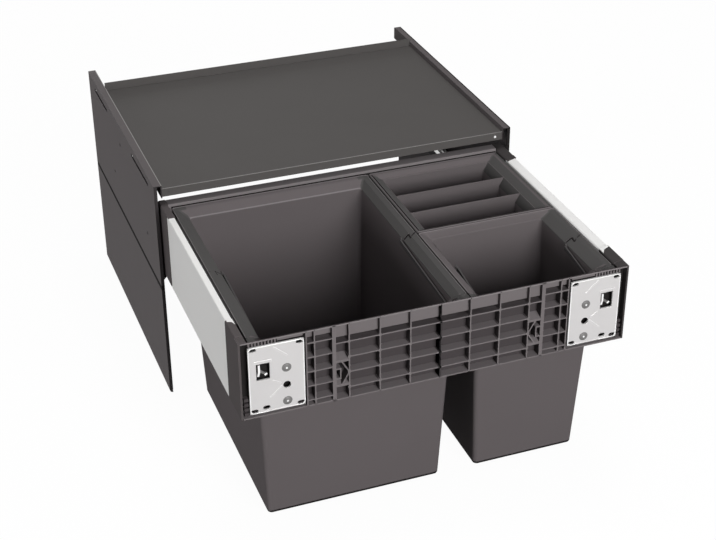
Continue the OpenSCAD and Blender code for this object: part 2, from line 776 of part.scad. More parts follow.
// Rear beam, ledges and hangers
module rear_beam() {
    color(dark_colour) along_x(-corner_in, corner_in) {
        rect2(rear_y, beam_z, rear_y + rear_t, side_top);
        rect2(rear_y, side_top - rear_t, drawer_back, side_top);
        rect2(rear_y, beam_z, drawer_back, beam_z + rear_t);
        rect2(rear_y - ledge_w, ledge_top - ledge_t, rear_y + rear_t, ledge_top);
    }
}

module ledge(side) {
    color(dark_colour) at_side(side) along_y(side_y0, side_y1) {
        rect2(rim_side - ledge_w, ledge_top - ledge_t, side_in, ledge_top);
        rect2(side_in - ledge_t, ledge_top - ledge_leg, side_in, ledge_top);
    }
}

module tee(at) {
    rect2(at - ledge_w, ledge_top - ledge_t, at + ledge_w, ledge_top);
    rect2(at - ledge_t / 2, ledge_top - ledge_t - hanger_h, at + ledge_t / 2, ledge_top);
}

module middle_hanger() {
    color(dark_colour) along_y(beam_back + ledge_w, rear_y - ledge_w) tee(split_x);
}

module cross_hanger() {
    color(dark_colour) along_x(split_x + ledge_w, rim_side - ledge_w) tee(cross_y);
}

// Bins and their bail handles
skin = 0.01;

module slab(rim, inset, r, z0, z1) {
    translate([0, 0, z0]) linear_extrude(z1 - z0)
        polygon(round_rect(rim[0].x + inset, rim[0].y + inset, rim[1].x - inset, rim[1].y - inset, r));
}

module leaning_body(rim, inset, r, z0, z1, lean) {
    hull() {
        slab(rim, inset + lean, r, z0, z0 + skin);
        slab(rim, inset, r, z1 - skin, z1);
    }
}

module bin(rim) {
    shelf_z = rim_top - collar_h;
    body = rim_w + bin_step;
    floor_z = rim_top - bin_h;
    wall_h = bin_h - collar_h;
    inner_round = bin_round - bin_t;
    color(plastic_colour) difference() {
        union() {
            slab(rim, 0, rim_round, rim_top - rim_t, rim_top);
            slab(rim, rim_w, bin_round, shelf_z - bin_t, rim_top);
            leaning_body(rim, body, bin_round, floor_z, shelf_z, bin_lean);
        }
        slab(rim, rim_w + bin_t, inner_round, shelf_z, rim_top + cut);
        leaning_body(rim, body + bin_t, inner_round, floor_z + bin_t, shelf_z + cut,
            bin_lean * (wall_h - bin_t) / wall_h);
        rod_x(rim[0].x, rim[1].x, (rim[0].y + rim[1].y) / 2, pivot_z, pin_d + 2 * pin_gap);
    }
}

module bin_handle(rim) {
    inset = rim_w + bin_t + strap_gap;
    x0 = rim[0].x + inset;
    x1 = rim[1].x - inset;
    front = rim[0].y + inset + bin_round - bin_t;
    pivot_y = (rim[0].y + rim[1].y) / 2;
    low = pivot_z - strap_h / 2;
    high = pivot_z + strap_h / 2;
    pin_reach = strap_gap + bin_t;
    color(plastic_colour) {
        for (x = [x0, x1 - strap_t]) {
            box([x, front, low], [x + strap_t, pivot_y, high]);
            rod_x(x, x + strap_t, pivot_y, pivot_z, strap_h);
        }
        box([x0, front, low], [x1, front + strap_t, high]);
        rod_x(x0 - pin_reach, x0 + strap_t, pivot_y, pivot_z, pin_d);
        rod_x(x1 - strap_t, x1 + pin_reach, pivot_y, pivot_z, pin_d);
    }
}

module left_bin() { bin(left_rim); }
module left_bin_handle() { bin_handle(left_rim); }
module right_bin() { bin(right_rim); }
module right_bin_handle() { bin_handle(right_rim); }

// Organiser box: slots one behind the other, drawn in below the sloping shoulders
function shouldered(x0, x1, top, shoulder_z, bottom) = [[x0, top], [x0, shoulder_z],
    [x0 + shoulder_w, shoulder_z - shoulder_h], [x0 + shoulder_w, bottom],
    [x1 - shoulder_w, bottom], [x1 - shoulder_w, shoulder_z - shoulder_h], [x1, shoulder_z], [x1, top]];

module organiser_box() {
    rim = organiser_rim;
    inset = rim_w + bin_t;
    x0 = rim[0].x + inset;
    x1 = rim[1].x - inset;
    y0 = rim[0].y + inset;
    y1 = rim[1].y - inset;
    pitch = (y1 - y0 + divider_t) / slot_n;
    bottom = rim_top - organiser_h;
    divider_z = rim_top - divider_drop;
    color(plastic_colour) difference() {
        union() {
            slab(rim, 0, rim_round, rim_top - rim_t, rim_top);
            along_y(y0 - bin_t, y1 + bin_t)
                polygon(shouldered(x0 - bin_t, x1 + bin_t, rim_top, divider_z - bin_t, bottom));
        }
        box([x0, y0, divider_z], [x1, y1, rim_top + cut]);
        for (i = [0:slot_n - 1]) along_y(y0 + i * pitch, y0 + (i + 1) * pitch - divider_t)
            polygon(shouldered(x0, x1, divider_z + cut, divider_z, bottom + bin_t));
    }
}

upper_panel("left");  // upper_panel_left
upper_panel("right");  // upper_panel_right
lower_panel("left");  // lower_panel_left
lower_panel("right");  // lower_panel_right
lid_shelf();
lid_screws();
lid_rivets();
rail_bracket("left");  // rail_bracket_left
rail_bracket("right");  // rail_bracket_right
bracket_rivets();
cabinet_rail("left");  // cabinet_rail_left
cabinet_rail("right");  // cabinet_rail_right
middle_rail("left");  // middle_rail_left
middle_rail("right");  // middle_rail_right
lower_cage("left");  // lower_cage_left
lower_cage("right");  // lower_cage_right
lower_rollers("left");  // lower_rollers_left
lower_rollers("right");  // lower_rollers_right
upper_cage("left");  // upper_cage_left
upper_cage("right");  // upper_cage_right
upper_rollers("left");  // upper_rollers_left
upper_rollers("right");  // upper_rollers_right
drawer_rail("left");  // drawer_rail_left
drawer_rail("right");  // drawer_rail_right
drawer_side("left");  // drawer_side_left
drawer_side("right");  // drawer_side_right
front_corner("left");  // front_corner_left
front_corner("right");  // front_corner_right
rear_corner("left");  // rear_corner_left
rear_corner("right");  // rear_corner_right
front_beam();
rear_beam();
ledge("left");  // ledge_left
ledge("right");  // ledge_right
middle_hanger();
cross_hanger();
side_screws();
front_plate("left");  // front_plate_left
front_plate("right");  // front_plate_right
plate_rivets();
height_adjuster("left");  // height_adjuster_left
height_adjuster("right");  // height_adjuster_right
left_bin();
left_bin_handle();
right_bin();
right_bin_handle();
organiser_box();
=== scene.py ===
import json
import math
import bmesh
import bpy
from mathutils import Matrix, Vector


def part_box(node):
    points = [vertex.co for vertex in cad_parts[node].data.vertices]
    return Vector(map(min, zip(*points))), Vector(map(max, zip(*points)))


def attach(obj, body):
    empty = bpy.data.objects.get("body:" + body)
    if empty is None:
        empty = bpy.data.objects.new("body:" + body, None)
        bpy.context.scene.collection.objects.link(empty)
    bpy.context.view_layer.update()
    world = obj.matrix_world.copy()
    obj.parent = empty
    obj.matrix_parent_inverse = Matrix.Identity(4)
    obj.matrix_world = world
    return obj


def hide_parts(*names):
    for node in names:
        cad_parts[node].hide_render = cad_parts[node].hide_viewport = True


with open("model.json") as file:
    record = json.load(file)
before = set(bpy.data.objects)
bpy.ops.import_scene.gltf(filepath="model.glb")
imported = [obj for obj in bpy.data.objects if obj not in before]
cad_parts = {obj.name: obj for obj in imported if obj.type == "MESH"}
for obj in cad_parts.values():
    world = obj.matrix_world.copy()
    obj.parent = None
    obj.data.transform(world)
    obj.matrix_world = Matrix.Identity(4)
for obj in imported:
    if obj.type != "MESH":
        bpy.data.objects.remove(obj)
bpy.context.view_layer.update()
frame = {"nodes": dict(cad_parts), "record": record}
scene = bpy.context.scene
scene.view_settings.view_transform = "Standard"


# camera, floor and light

photoCamera = {
    "place": (-0.67196, -1.9396, 1.33935),
    "angles": (59.7984, 0.3286, -20.4248),
    "lens": 76.024,
    "sensor": 36,
    "shift": (-0.0015, -0.0013),
    "farEnd": 60,
}

studio = {
    "floorHalf": 9,
    "floorDrop": 0.0006,
    "floorColour": (0.12, 0.12, 0.12, 1),
    "shadowColour": (0.96, 0.96, 0.96, 1),
    "shadowShare": 0.035,    # how much of the floor's own shading the camera sees
    "white": (1, 1, 1, 1),
    "strengths": (0.12, 1),      # on the object, and as the camera sees it
    "aim": (0, -0.1, 0.2),
    "lamps": {"frontLamp": (118, 1.8, (0.3, -3.5, 1.55)),      # power, size, place
              "topLamp": (62, 2, (0.1, 0.6, 4.2)),
              "sideLamp": (34, 1.1, (-3.4, -0.5, 0.62)),
              "rearLamp": (22, 1.6, (0.4, 3.4, 1)),
              "rightLamp": (22, 1.2, (3.4, -0.2, 0.7))},
}


def addObject(name, data):
    obj = bpy.data.objects.new(name, data)
    scene.collection.objects.link(obj)
    return obj


def meshFrom(name, bm):
    mesh = bpy.data.meshes.new(name)
    bm.to_mesh(mesh)
    bm.free()
    return mesh


def freshNodes(owner):
    owner.use_nodes = True
    owner.node_tree.nodes.clear()
    return owner.node_tree.nodes, owner.node_tree.links


def addNode(nodes, kind, **values):
    node = nodes.new("ShaderNode" + kind)
    for label, value in values.items():
        node.inputs[label].default_value = value
    return node


def mathNode(nodes, links, operation, first, second):
    node = addNode(nodes, "Math")
    node.operation = operation
    for i, value in enumerate((first, second)):
        if isinstance(value, (int, float)):
            node.inputs[i].default_value = value
        else:
            links.new(value, node.inputs[i])
    return node.outputs[0]


def seenRays(nodes, links):
    rays = addNode(nodes, "LightPath").outputs
    seen = mathNode(nodes, links, "MAXIMUM", rays["Is Camera Ray"], rays["Is Glossy Ray"])
    return mathNode(nodes, links, "MAXIMUM", seen, rays["Is Transmission Ray"])


def makeCamera():
    data = bpy.data.cameras.new("photoCamera")
    data.lens = photoCamera["lens"]
    data.sensor_width = photoCamera["sensor"]
    data.sensor_fit = "HORIZONTAL"
    data.shift_x, data.shift_y = photoCamera["shift"]
    data.clip_end = photoCamera["farEnd"]
    scene.camera = addObject("photoCamera", data)
    scene.camera.location = photoCamera["place"]
    scene.camera.rotation_euler = [math.radians(a) for a in photoCamera["angles"]]


def makeLamp(name, power, size, place):
    data = bpy.data.lights.new(name, "AREA")
    data.shape = "DISK"
    data.size = size
    data.energy = power
    lamp = addObject(name, data)
    lamp.location = place
    lamp.rotation_euler = (Vector(studio["aim"]) - Vector(place)).to_track_quat("-Z", "Y").to_euler()


def makeWorld():
    scene.world = bpy.data.worlds.new("paleStudio")
    nodes, links = freshNodes(scene.world)
    mix = addNode(nodes, "MixShader")
    links.new(seenRays(nodes, links), mix.inputs[0])
    for i, strength in enumerate(studio["strengths"], 1):
        light = addNode(nodes, "Background", Color=studio["white"], Strength=strength)
        links.new(light.outputs[0], mix.inputs[i])
    links.new(mix.outputs[0], addNode(nodes, "OutputWorld").inputs["Surface"])


def makeFloor():
    material = bpy.data.materials.new("paleFloor")
    nodes, links = freshNodes(material)
    shown, mix = addNode(nodes, "MixShader"), addNode(nodes, "MixShader")
    shown.inputs[0].default_value = studio["shadowShare"]
    links.new(seenRays(nodes, links), mix.inputs[0])
    links.new(addNode(nodes, "Emission").outputs[0], shown.inputs[1])
    for colour, target in (("shadowColour", shown.inputs[2]), ("floorColour", mix.inputs[1])):
        links.new(addNode(nodes, "BsdfDiffuse", Color=studio[colour]).outputs[0], target)
    links.new(shown.outputs[0], mix.inputs[2])
    links.new(mix.outputs[0], addNode(nodes, "OutputMaterial").inputs["Surface"])
    bm = bmesh.new()
    bmesh.ops.create_grid(bm, x_segments=1, y_segments=1, size=studio["floorHalf"])
    bmesh.ops.translate(bm, vec=(0, 0, -studio["floorDrop"]), verts=bm.verts)
    floor = addObject("studioFloor", meshFrom("studioFloor", bm))
    floor.data.materials.append(material)


makeCamera()
makeWorld()
makeFloor()
for lampName, lampValues in studio["lamps"].items():
    makeLamp(lampName, *lampValues)
print("stage: camera, light and floor")


# finishes

grainLook = {"scale": 900, "detail": 3, "pitShare": 0.8}
driftLook = {"scale": 9, "detail": 2, "roughness": 0.6}
brushLook = {"scale": 60, "stretch": 14, "detail": 4}


def newGroup(name, inputs, outputs):
    group = bpy.data.node_groups.new(name, "ShaderNodeTree")
    for label, value in inputs.items():
        socket = group.interface.new_socket(name=label, in_out="INPUT", socket_type="NodeSocketFloat")
        socket.default_value = value
    for label in outputs:
        group.interface.new_socket(name=label, in_out="OUTPUT", socket_type="NodeSocketFloat")
    start = group.nodes.new("NodeGroupInput")
    end = group.nodes.new("NodeGroupOutput")
    place = group.nodes.new("ShaderNodeTexCoord").outputs["Object"]
    return group, group.nodes, group.links, start, end, place


def noiseNode(nodes, links, place, scale, **values):
    noise = addNode(nodes, "TexNoise", **values)
    links.new(place, noise.inputs["Vector"])
    links.new(scale, noise.inputs["Scale"])
    return noise.outputs["Fac"]


def makeGrainGroup():
    s, outputs = grainLook, ("Height", "Tone")
    group, nodes, links, start, end, place = newGroup("mouldedGrain", {"Scale": s["scale"]}, outputs)
    scale = start.outputs["Scale"]
    fine = noiseNode(nodes, links, place, scale, Detail=s["detail"])
    pits = addNode(nodes, "TexVoronoi")
    links.new(place, pits.inputs["Vector"])
    links.new(mathNode(nodes, links, "MULTIPLY", scale, s["pitShare"]), pits.inputs["Scale"])
    links.new(mathNode(nodes, links, "MULTIPLY", fine, pits.outputs["Distance"]), end.inputs["Height"])
    links.new(fine, end.inputs["Tone"])
    return group


def makeDriftGroup():
    s = driftLook
    group, nodes, links, start, end, place = newGroup("slowDrift", {"Scale": s["scale"]}, ("Tone",))
    cloud = noiseNode(nodes, links, place, start.outputs["Scale"], Detail=s["detail"],
                      Roughness=s["roughness"])
    links.new(cloud, end.inputs["Tone"])
    return group


def makeBrushGroup():
    s, outputs = brushLook, ("Height", "Tone")
    inputs = {"Scale": s["scale"], "Stretch": s["stretch"]}
    group, nodes, links, start, end, place = newGroup("drawnLines", inputs, outputs)
    longWay = addNode(nodes, "CombineXYZ", X=1, Y=1)
    links.new(start.outputs["Stretch"], longWay.inputs["Z"])
    stretch = addNode(nodes, "VectorMath")
    stretch.operation = "MULTIPLY"
    links.new(place, stretch.inputs[0])
    links.new(longWay.outputs[0], stretch.inputs[1])
    lines = noiseNode(nodes, links, stretch.outputs[0], start.outputs["Scale"], Detail=s["detail"])
    for label in outputs:
        links.new(lines, end.inputs[label])
    return group


grainGroup = makeGrainGroup()
driftGroup = makeDriftGroup()
brushGroup = makeBrushGroup()


def placeGroup(nodes, group, **values):
    node = nodes.new("ShaderNodeGroup")
    node.node_tree = group
    for label, value in values.items():
        node.inputs[label].default_value = value
    return node


def tintNode(nodes, links, mask, base, tint, share):
    mix = nodes.new("ShaderNodeMix")
    mix.data_type = "RGBA"
    links.new(mathNode(nodes, links, "MULTIPLY", mask, share), mix.inputs["Factor"])
    if isinstance(base, tuple):
        mix.inputs["A"].default_value = base
    else:
        links.new(base, mix.inputs["A"])
    mix.inputs["B"].default_value = tint
    return mix.outputs["Result"]


def shade(colour, factor):
    return tuple(min(1, c * factor) for c in colour[:3]) + (1,)


def makeFinish(name, colour, roughness, grainScale, own):
    look = {**plainLook, **own}
    material = bpy.data.materials.new(name)
    nodes, links = freshNodes(material)
    skin = addNode(nodes, "BsdfPrincipled", Metallic=look["metallic"])
    skin.inputs["Specular IOR Level"].default_value = look["specular"]
    links.new(skin.outputs[0], addNode(nodes, "OutputMaterial").inputs["Surface"])
    drift = placeGroup(nodes, driftGroup, Scale=look["driftScale"]).outputs
    if "brushed" in look:
        grain = placeGroup(nodes, brushGroup, Scale=grainScale, Stretch=look["brushed"]).outputs
    else:
        grain = placeGroup(nodes, grainGroup, Scale=grainScale).outputs
    base = shade(colour, 1)
    tint = tintNode(nodes, links, drift["Tone"], base, shade(base, look["driftTo"]), look["driftShare"])
    tint = tintNode(nodes, links, grain["Tone"], tint, shade(base, look["grainTo"]), look["grainShare"])
    links.new(tint, skin.inputs["Base Color"])
    rough = mathNode(nodes, links, "MULTIPLY", grain["Tone"], look["roughSpread"])
    links.new(mathNode(nodes, links, "ADD", rough, roughness), skin.inputs["Roughness"])
    bump = addNode(nodes, "Bump", Strength=look["bump"], Distance=look["bumpDepth"])
    links.new(grain["Height"], bump.inputs["Height"])
    links.new(bump.outputs[0], skin.inputs["Normal"])
    return material


plainLook = {"metallic": 0, "specular": 0.03, "driftScale": 9, "driftTo": 0.86, "driftShare": 0.5,
             "grainTo": 1.25, "grainShare": 0.2, "roughSpread": 0.16, "bump": 0.12, "bumpDepth": 0.0003}
finishes = {      # colour, roughness, grain scale and what differs from the plain look
    "panelPaint": ((0.108, 0.096, 0.098), 0.5, 1500, {}),
    # painted shade: the darker panel finish for the front folds, back strips, foot bands and the right top
    # lip
    "panelEdge": ((0.045, 0.041, 0.042), 0.5, 1500, {}),
    "lidPaint": ((0.098, 0.0925, 0.09), 0.5, 1500, {"specular": 0.015}),
    # painted highlight: the lighter finish along the lid's front bend and the left panels' top lip
    "lidEdge": ((0.27, 0.26, 0.255), 0.45, 1500, {}),
    "whitePaint": ((0.86, 0.853, 0.84), 0.38, 1200, {"specular": 0.3, "driftTo": 0.95, "grainTo": 1.03}),
    "darkSteel": ((0.05, 0.046, 0.047), 0.5, 1500, {}),
    "rearPaint": ((0.2, 0.183, 0.186), 0.55, 1500, {}),
    "blackFastener": ((0.02, 0.02, 0.02), 0.4, 1800, {"metallic": 0.4}),
    "railZinc": ((0.62, 0.62, 0.61), 0.28, 60, {"brushed": 20, "metallic": 1}),
    "rollerSteel": ((0.66, 0.66, 0.66), 0.2, 300, {"metallic": 1}),
    "cagePlastic": ((0.035, 0.035, 0.035), 0.5, 1200, {}),
    "stampedZinc": ((0.62, 0.606, 0.605), 0.42, 90,
                    {"metallic": 0.35, "driftScale": 45, "driftShare": 0.8, "bump": 0.1}),
    # bright zinc of the fasteners, also used as painted highlight on the plates' rims, stamped ridges,
    # raised frame, rivet middles and the adjuster hook's front
    "brightZinc": ((0.93, 0.925, 0.92), 0.3, 260, {"metallic": 0.4, "driftScale": 120}),
    # darker zinc of the rivet domes, also used as painted shade in the rings round the rivets and on the
    # adjuster hook's deeper faces
    "rivetZinc": ((0.2, 0.196, 0.193), 0.4, 260, {"metallic": 0.25, "driftScale": 160, "driftTo": 0.7}),
    "beamPlastic": ((0.168, 0.151, 0.154), 0.55, 1300, {}),
    # painted highlight: the lighter finish for the beam's front edges and lip
    "beamEdge": ((0.22, 0.2, 0.204), 0.55, 1300, {}),
    # painted shade: the dark finish for the beam's pocket backs, pocket walls, undersides and dots
    "beamPocket": ((0.064, 0.056, 0.058), 0.6, 1300, {}),
    # painted light: the lighter finish for the rib tops, as if lit from above
    "beamShelf": ((0.19, 0.171, 0.175), 0.6, 1300, {}),
    "cornerPlastic": ((0.095, 0.084, 0.085), 0.55, 1300, {"specular": 0.015}),
    # painted shade: the darker finish over the right-hand caps
    "cornerShade": ((0.058, 0.053, 0.053), 0.55, 1300, {"specular": 0.015}),
    # painted highlight: the lighter finish on the left caps' bevelled edges
    "cornerEdge": ((0.15, 0.136, 0.138), 0.55, 1300, {"specular": 0.015}),
    "binPlastic": ((0.124, 0.11, 0.113), 0.58, 1100, {"specular": 0.01}),
    # painted highlight: the lighter finish along the rims' top edges, the large bin's back line, the
    # organiser's rim top and beside the notch lines
    "binEdge": ((0.2, 0.182, 0.186), 0.55, 1100, {"specular": 0.01}),
    # painted shade: the darker finish on the sloping rim bands, the organiser's slopes and the saddles under
    # the bands
    "binRim": ((0.084, 0.081, 0.08), 0.6, 1100, {"specular": 0.01}),
    # painted shade: the near-black finish for the panel joints, the right panels' front and outer top edges,
    # the strips behind the slits, the bins' foot band and undersides, the notch and groove lines, the seal
    # strip, the beam's web behind the plates and the adjuster disc
    "binSeam": ((0.022, 0.02, 0.02), 0.6, 1100, {"specular": 0.01}),
    "handlePlastic": ((0.075, 0.07, 0.071), 0.5, 1100, {"specular": 0.01}),
}
finish = {name: makeFinish(name, *look) for name, look in finishes.items()}
print("stage: finishes", len(finish))


# the frame's own nodes that stay in view

nodeFinish = {
    "panel_steel": "panelPaint", "lid_steel": "lidPaint", "white_steel": "whitePaint",
    "dark_steel": "darkSteel", "black_fastener": "blackFastener", "zinc_rail": "railZinc",
    "roller_steel": "rollerSteel", "cage_plastic": "cagePlastic", "zinc_plate": "stampedZinc",
    "zinc_fastener": "brightZinc", "frame_plastic": "beamPlastic", "bin_plastic": "binPlastic",
    "handle_plastic": "handlePlastic",
}
slotOf = {part["node"]: part["material_slot"] for part in frame["record"]["subparts"]}
for nodeName, nodeObject in frame["nodes"].items():
    nodeObject.data.materials.clear()
    nodeObject.data.materials.append(finish[nodeFinish[slotOf[nodeName]]])


# shared modelling steps, all in millimetres until a piece is finished

unit, merge = 1000, 0.002
flatAngle, sharpAngle, smoothAngle = (math.radians(angle) for angle in (1, 30, 34))
normalWeight, bevelCuts, cornerCuts = 90, 2, 7
near = 1      # what lies within this of an edge counts as on it
hair = 0.1
sides = (("left", -1), ("right", 1))


def boxMm(node):
    low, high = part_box(node)
    return low * unit, high * unit


def finishPiece(name, bm, looks, body, slotName, *replaced):
    bmesh.ops.scale(bm, vec=[1 / unit] * 3, verts=bm.verts)
    mesh = meshFrom(name, bm)
    for look in looks.split():
        mesh.materials.append(finish[look])
    for polygon in mesh.polygons:
        polygon.use_smooth = True
    mesh.set_sharp_from_angle(angle=smoothAngle)
    piece = addObject(name, mesh)
    even = piece.modifiers.new("evenNormals", "WEIGHTED_NORMAL")
    even.weight = normalWeight
    even.keep_sharp = True
    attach(piece, body)
    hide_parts(*replaced)


def nodeCopy(node):
    bm = bmesh.new()
    bm.from_mesh(frame["nodes"][node].data)
    bmesh.ops.scale(bm, vec=[unit] * 3, verts=bm.verts)
    bmesh.ops.remove_doubles(bm, verts=bm.verts, dist=merge)
    bmesh.ops.dissolve_limit(bm, angle_limit=flatAngle, verts=bm.verts, edges=bm.edges)
    return (bm, *boxMm(node))


def sharpEdges(bm):
    return [e for e in bm.edges if e.is_manifold and e.calc_face_angle() > sharpAngle]


def bevel(bm, geom, width, cuts, affect="EDGES"):
    return bmesh.ops.bevel(bm, geom=geom, offset=width, offset_type="OFFSET", affect=affect, segments=cuts,
                           profile=0.5, material=-1, clamp_overlap=affect == "EDGES")["faces"]


def soften(bm, width, edges=None, tone=0):
    for face in bevel(bm, sharpEdges(bm) if edges is None else edges, width, bevelCuts):
        face.material_index = tone


def faceOut(bm):
    bmesh.ops.recalc_face_normals(bm, faces=bm.faces)


def shift(bm, verts, x, y, z):
    bmesh.ops.translate(bm, vec=(x, y, z), verts=verts)


def scaleAbout(bm, verts, middle, vec):
    bmesh.ops.scale(bm, vec=vec, space=Matrix.Translation(-middle), verts=verts)


def paint(faces, looks, look):
    for face in faces:
        face.material_index = looks.split().index(look)


def paintEach(bm, looks, pick, *values):
    for face in bm.faces:
        paint([face], looks, pick(face, *values))


def facesOf(verts):
    return {face for v in verts for face in v.link_faces}


def vertsIn(geom):
    return [g for g in geom if isinstance(g, bmesh.types.BMVert)]


def loftShell(low, high, steps):
    bm = bmesh.new()
    signs = ((-1, -1), (1, -1), (1, 1), (-1, 1))

    def cornerAt(step, sx, sy):
        (left, right, front, back), level, radius = step      # insets of the four sides
        return Vector((high.x - right - radius if sx > 0 else low.x + left + radius,
                       high.y - back - radius if sy > 0 else low.y + front + radius, level))

    first = steps[0]
    corners = [bm.verts.new(cornerAt(first, sx, sy) + Vector((sx, sy, 0)) * first[2]) for sx, sy in signs]
    bm.faces.new(corners)
    bevel(bm, corners, first[2], cornerCuts, "VERTICES")
    cap = max(bm.faces, key=lambda f: f.calc_area())
    cornerCount = len(cap.verts)
    middle = (low + high) / 2
    for last, step in zip(steps, steps[1:]):
        made = bmesh.ops.extrude_face_region(bm, geom=[cap])["geom"]
        if cap.is_valid and len(bm.faces) > cornerCount + 2:      # the first cap stays as the foot
            bmesh.ops.delete(bm, geom=[cap], context="FACES_ONLY")
        cap = next(g for g in made if isinstance(g, bmesh.types.BMFace))
        for sx, sy in signs:
            corner = [v for v in cap.verts if (v.co.x - middle.x) * sx > 0 and (v.co.y - middle.y) * sy > 0]
            old = cornerAt(last, sx, sy)
            wider = step[2] / last[2]
            scaleAbout(bm, corner, old, (wider, wider, 1))
            shift(bm, corner, *(cornerAt(step, sx, sy) - old))
    return bm, cap


def addBox(bm, low, high):
    low, high = Vector(low), Vector(high)
    made = bmesh.ops.create_cube(bm, size=1)["verts"]
    bmesh.ops.scale(bm, vec=high - low, verts=made)
    shift(bm, made, *(low + high) / 2)
    return made


def addRod(bm, centre, radius, depth, axis, tip=None, segments=24):
    made = bmesh.ops.create_cone(bm, cap_ends=True, segments=segments, radius1=radius,
                                 radius2=radius if tip is None else tip, depth=depth)["verts"]
    turn = Matrix.Rotation(math.pi / 2, 4, "Y" if axis == "X" else "X")
    bmesh.ops.transform(bm, matrix=Matrix.Translation(centre) @ turn, verts=made)
    return made


def addBar(bm, start, end, width, low, high):
    run = Vector((end[0] - start[0], 0, end[1] - start[1]))       # a bar lying in the X Z plane
    made = addBox(bm, (-run.length / 2, low, -width / 2), (run.length / 2, high, width / 2))
    turn = Matrix.Rotation(-math.atan2(run.z, run.x), 4, "Y")
    middle = Vector(((start[0] + end[0]) / 2, 0, (start[1] + end[1]) / 2))
    bmesh.ops.transform(bm, matrix=Matrix.Translation(middle) @ turn, verts=made)
    return made


def addSlab(bm, outline, run):
    verts = [bm.verts.new(point) for point in outline]
    made = bmesh.ops.extrude_face_region(bm, geom=[bm.faces.new(verts)])["geom"]
    shift(bm, vertsIn(made), *run)
    faces = list(facesOf(verts + vertsIn(made)))
    bmesh.ops.recalc_face_normals(bm, faces=faces)
    return faces


def addShape(bm, shape):
    mesh = meshFrom("joined", shape)
    bm.from_mesh(mesh)
    bpy.data.meshes.remove(mesh)


def mirrorX(bm):
    bmesh.ops.scale(bm, vec=(-1, 1, 1), verts=bm.verts)
    faceOut(bm)


def cutShell(bm, point, normal):
    bmesh.ops.bisect_plane(bm, geom=bm.faces[:] + bm.edges[:] + bm.verts[:], plane_co=point, plane_no=normal)


# bins

binLooks = "binPlastic binEdge binSeam binRim"
binShape = {
    "floor": 12, "wellFloor": 14.2, "footTop": 14.4, "lineTop": 16.4, "bodyTop": 293.5, "shelf": 295,
    "bandLow": 308, "rimUnder": 316.5, "bendTop": 316.5, "flatTop": 317.56, "rimTop": 318.6,
    "wall": 2.2, "collarIn": 12, "collarClear": (2, 3), "seatIn": 7.6, "seatLeast": 2.4,
    "seatClear": 3, "innerClear": 0.5,
    "bandStart": 318.4, "bandFlat": 6, "bandBend": 8.5, "bandShares": (0.4, 0.55),
    "frontDrop": 11.5, "frontReach": 24, "frontLine": 8, "dropFrom": 292, "dropRun": 8.5,
    "notch": ((1.2, -2), (11, -9.5), (10, 0.5), (17.5, 0)), "notchFor": 18.5, "notchSink": 1,
    # painted shadow and highlight: a notch line is a near-black bar with a lighter bar beside it, the faint
    # line a near-black bar only
    "notchLines": ((0.7, 0, 2, "binSeam"), (0.45, 1.5, 0.8, "binEdge")),   # rise, step back, width, finish
    "faintLines": ((0.3, 0, 0.7, "binSeam"),),
    "edgeFrom": 3, "backReach": 40, "lean": 0.3, "upright": 0.5,
    "rings": (      # outline and step in from it, level and rise over it, corner radius
        ("foot", 2.6, "floor", 0, 4.1), ("foot", 0.9, "floor", 0.4, 5.7), ("foot", 0, "footTop", 0, 6.5),
        ("line", 0, "lineTop", 0, 6.5), ("body", 0, "bodyTop", 0, 6.5),
        ("collar", 0.4, "shelf", 0, 6.5), ("collar", 0, "shelf", 0.8, 6.5),
        ("collar", 0, "rimUnder", -6.5, 6.5), ("seat", 0, "rimUnder", -1.6, 5),
        ("seat", -1.6, "rimUnder", 0, 4.8), ("rim", 0.4, "rimUnder", 0, 3.3),
        ("rim", 0, "rimUnder", 0.4, 3.6), ("rim", 0, "rimTop", -0.8, 3.6), ("rim", 0.3, "rimTop", -0.2, 3.4),
        ("rim", 1, "rimTop", 0, 3.2), ("rim", 1.9, "rimTop", -0.4, 3.2), ("flat", 0, "flatTop", 0, 3.6),
        ("bend", 0, "bendTop", 0, 4), ("band", -0.9, "bandLow", 0.6, 4.6),
        ("band", 0, "bandLow", 0, 5), ("band", 0.4, "bandLow", -0.9, 5.2),
        ("inner", 0, "bandLow", -4, 5.2), ("well", 0, "floor", 7, 5.4), ("well", 1.4, "floor", 3.6, 4.6),
        ("well", 4, "wellFloor", 0, 3)),
}
binSides = {      # left, right, front and back insets of the foot, the body's top and the rim's inner edge
    "left_bin": {"foot": (26.6, 22.4, 27, 27), "body": (14.4, 10.4, 14.4, 14.4),
                 "band": (20, 16.5, 10, 20), "large": True, "notchShift": -5},
    "right_bin": {"foot": (30, 26.6, 27, 25), "body": (17.5, 14.4, 14.4, 5),
                  "band": (16, 22.5, 10, 7), "large": False, "notchShift": 5},
}


def grow(insets, amount):
    return tuple(value + amount for value in insets)


def bandPoints(wide):
    s = binShape
    flatShare, bendShare = s["bandShares"]
    return ((0, s["bandStart"]), (min(s["bandFlat"], wide * flatShare), s["flatTop"]),
            (min(s["bandBend"], wide * bendShare), s["bendTop"]), (wide, s["bandLow"]))


def bandHeight(inset, wide):
    points = bandPoints(wide)
    for (a, high), (b, low) in zip(points, points[1:]):
        if inset <= b:
            return high + (low - high) * (inset - a) / (b - a)
    return points[-1][1]


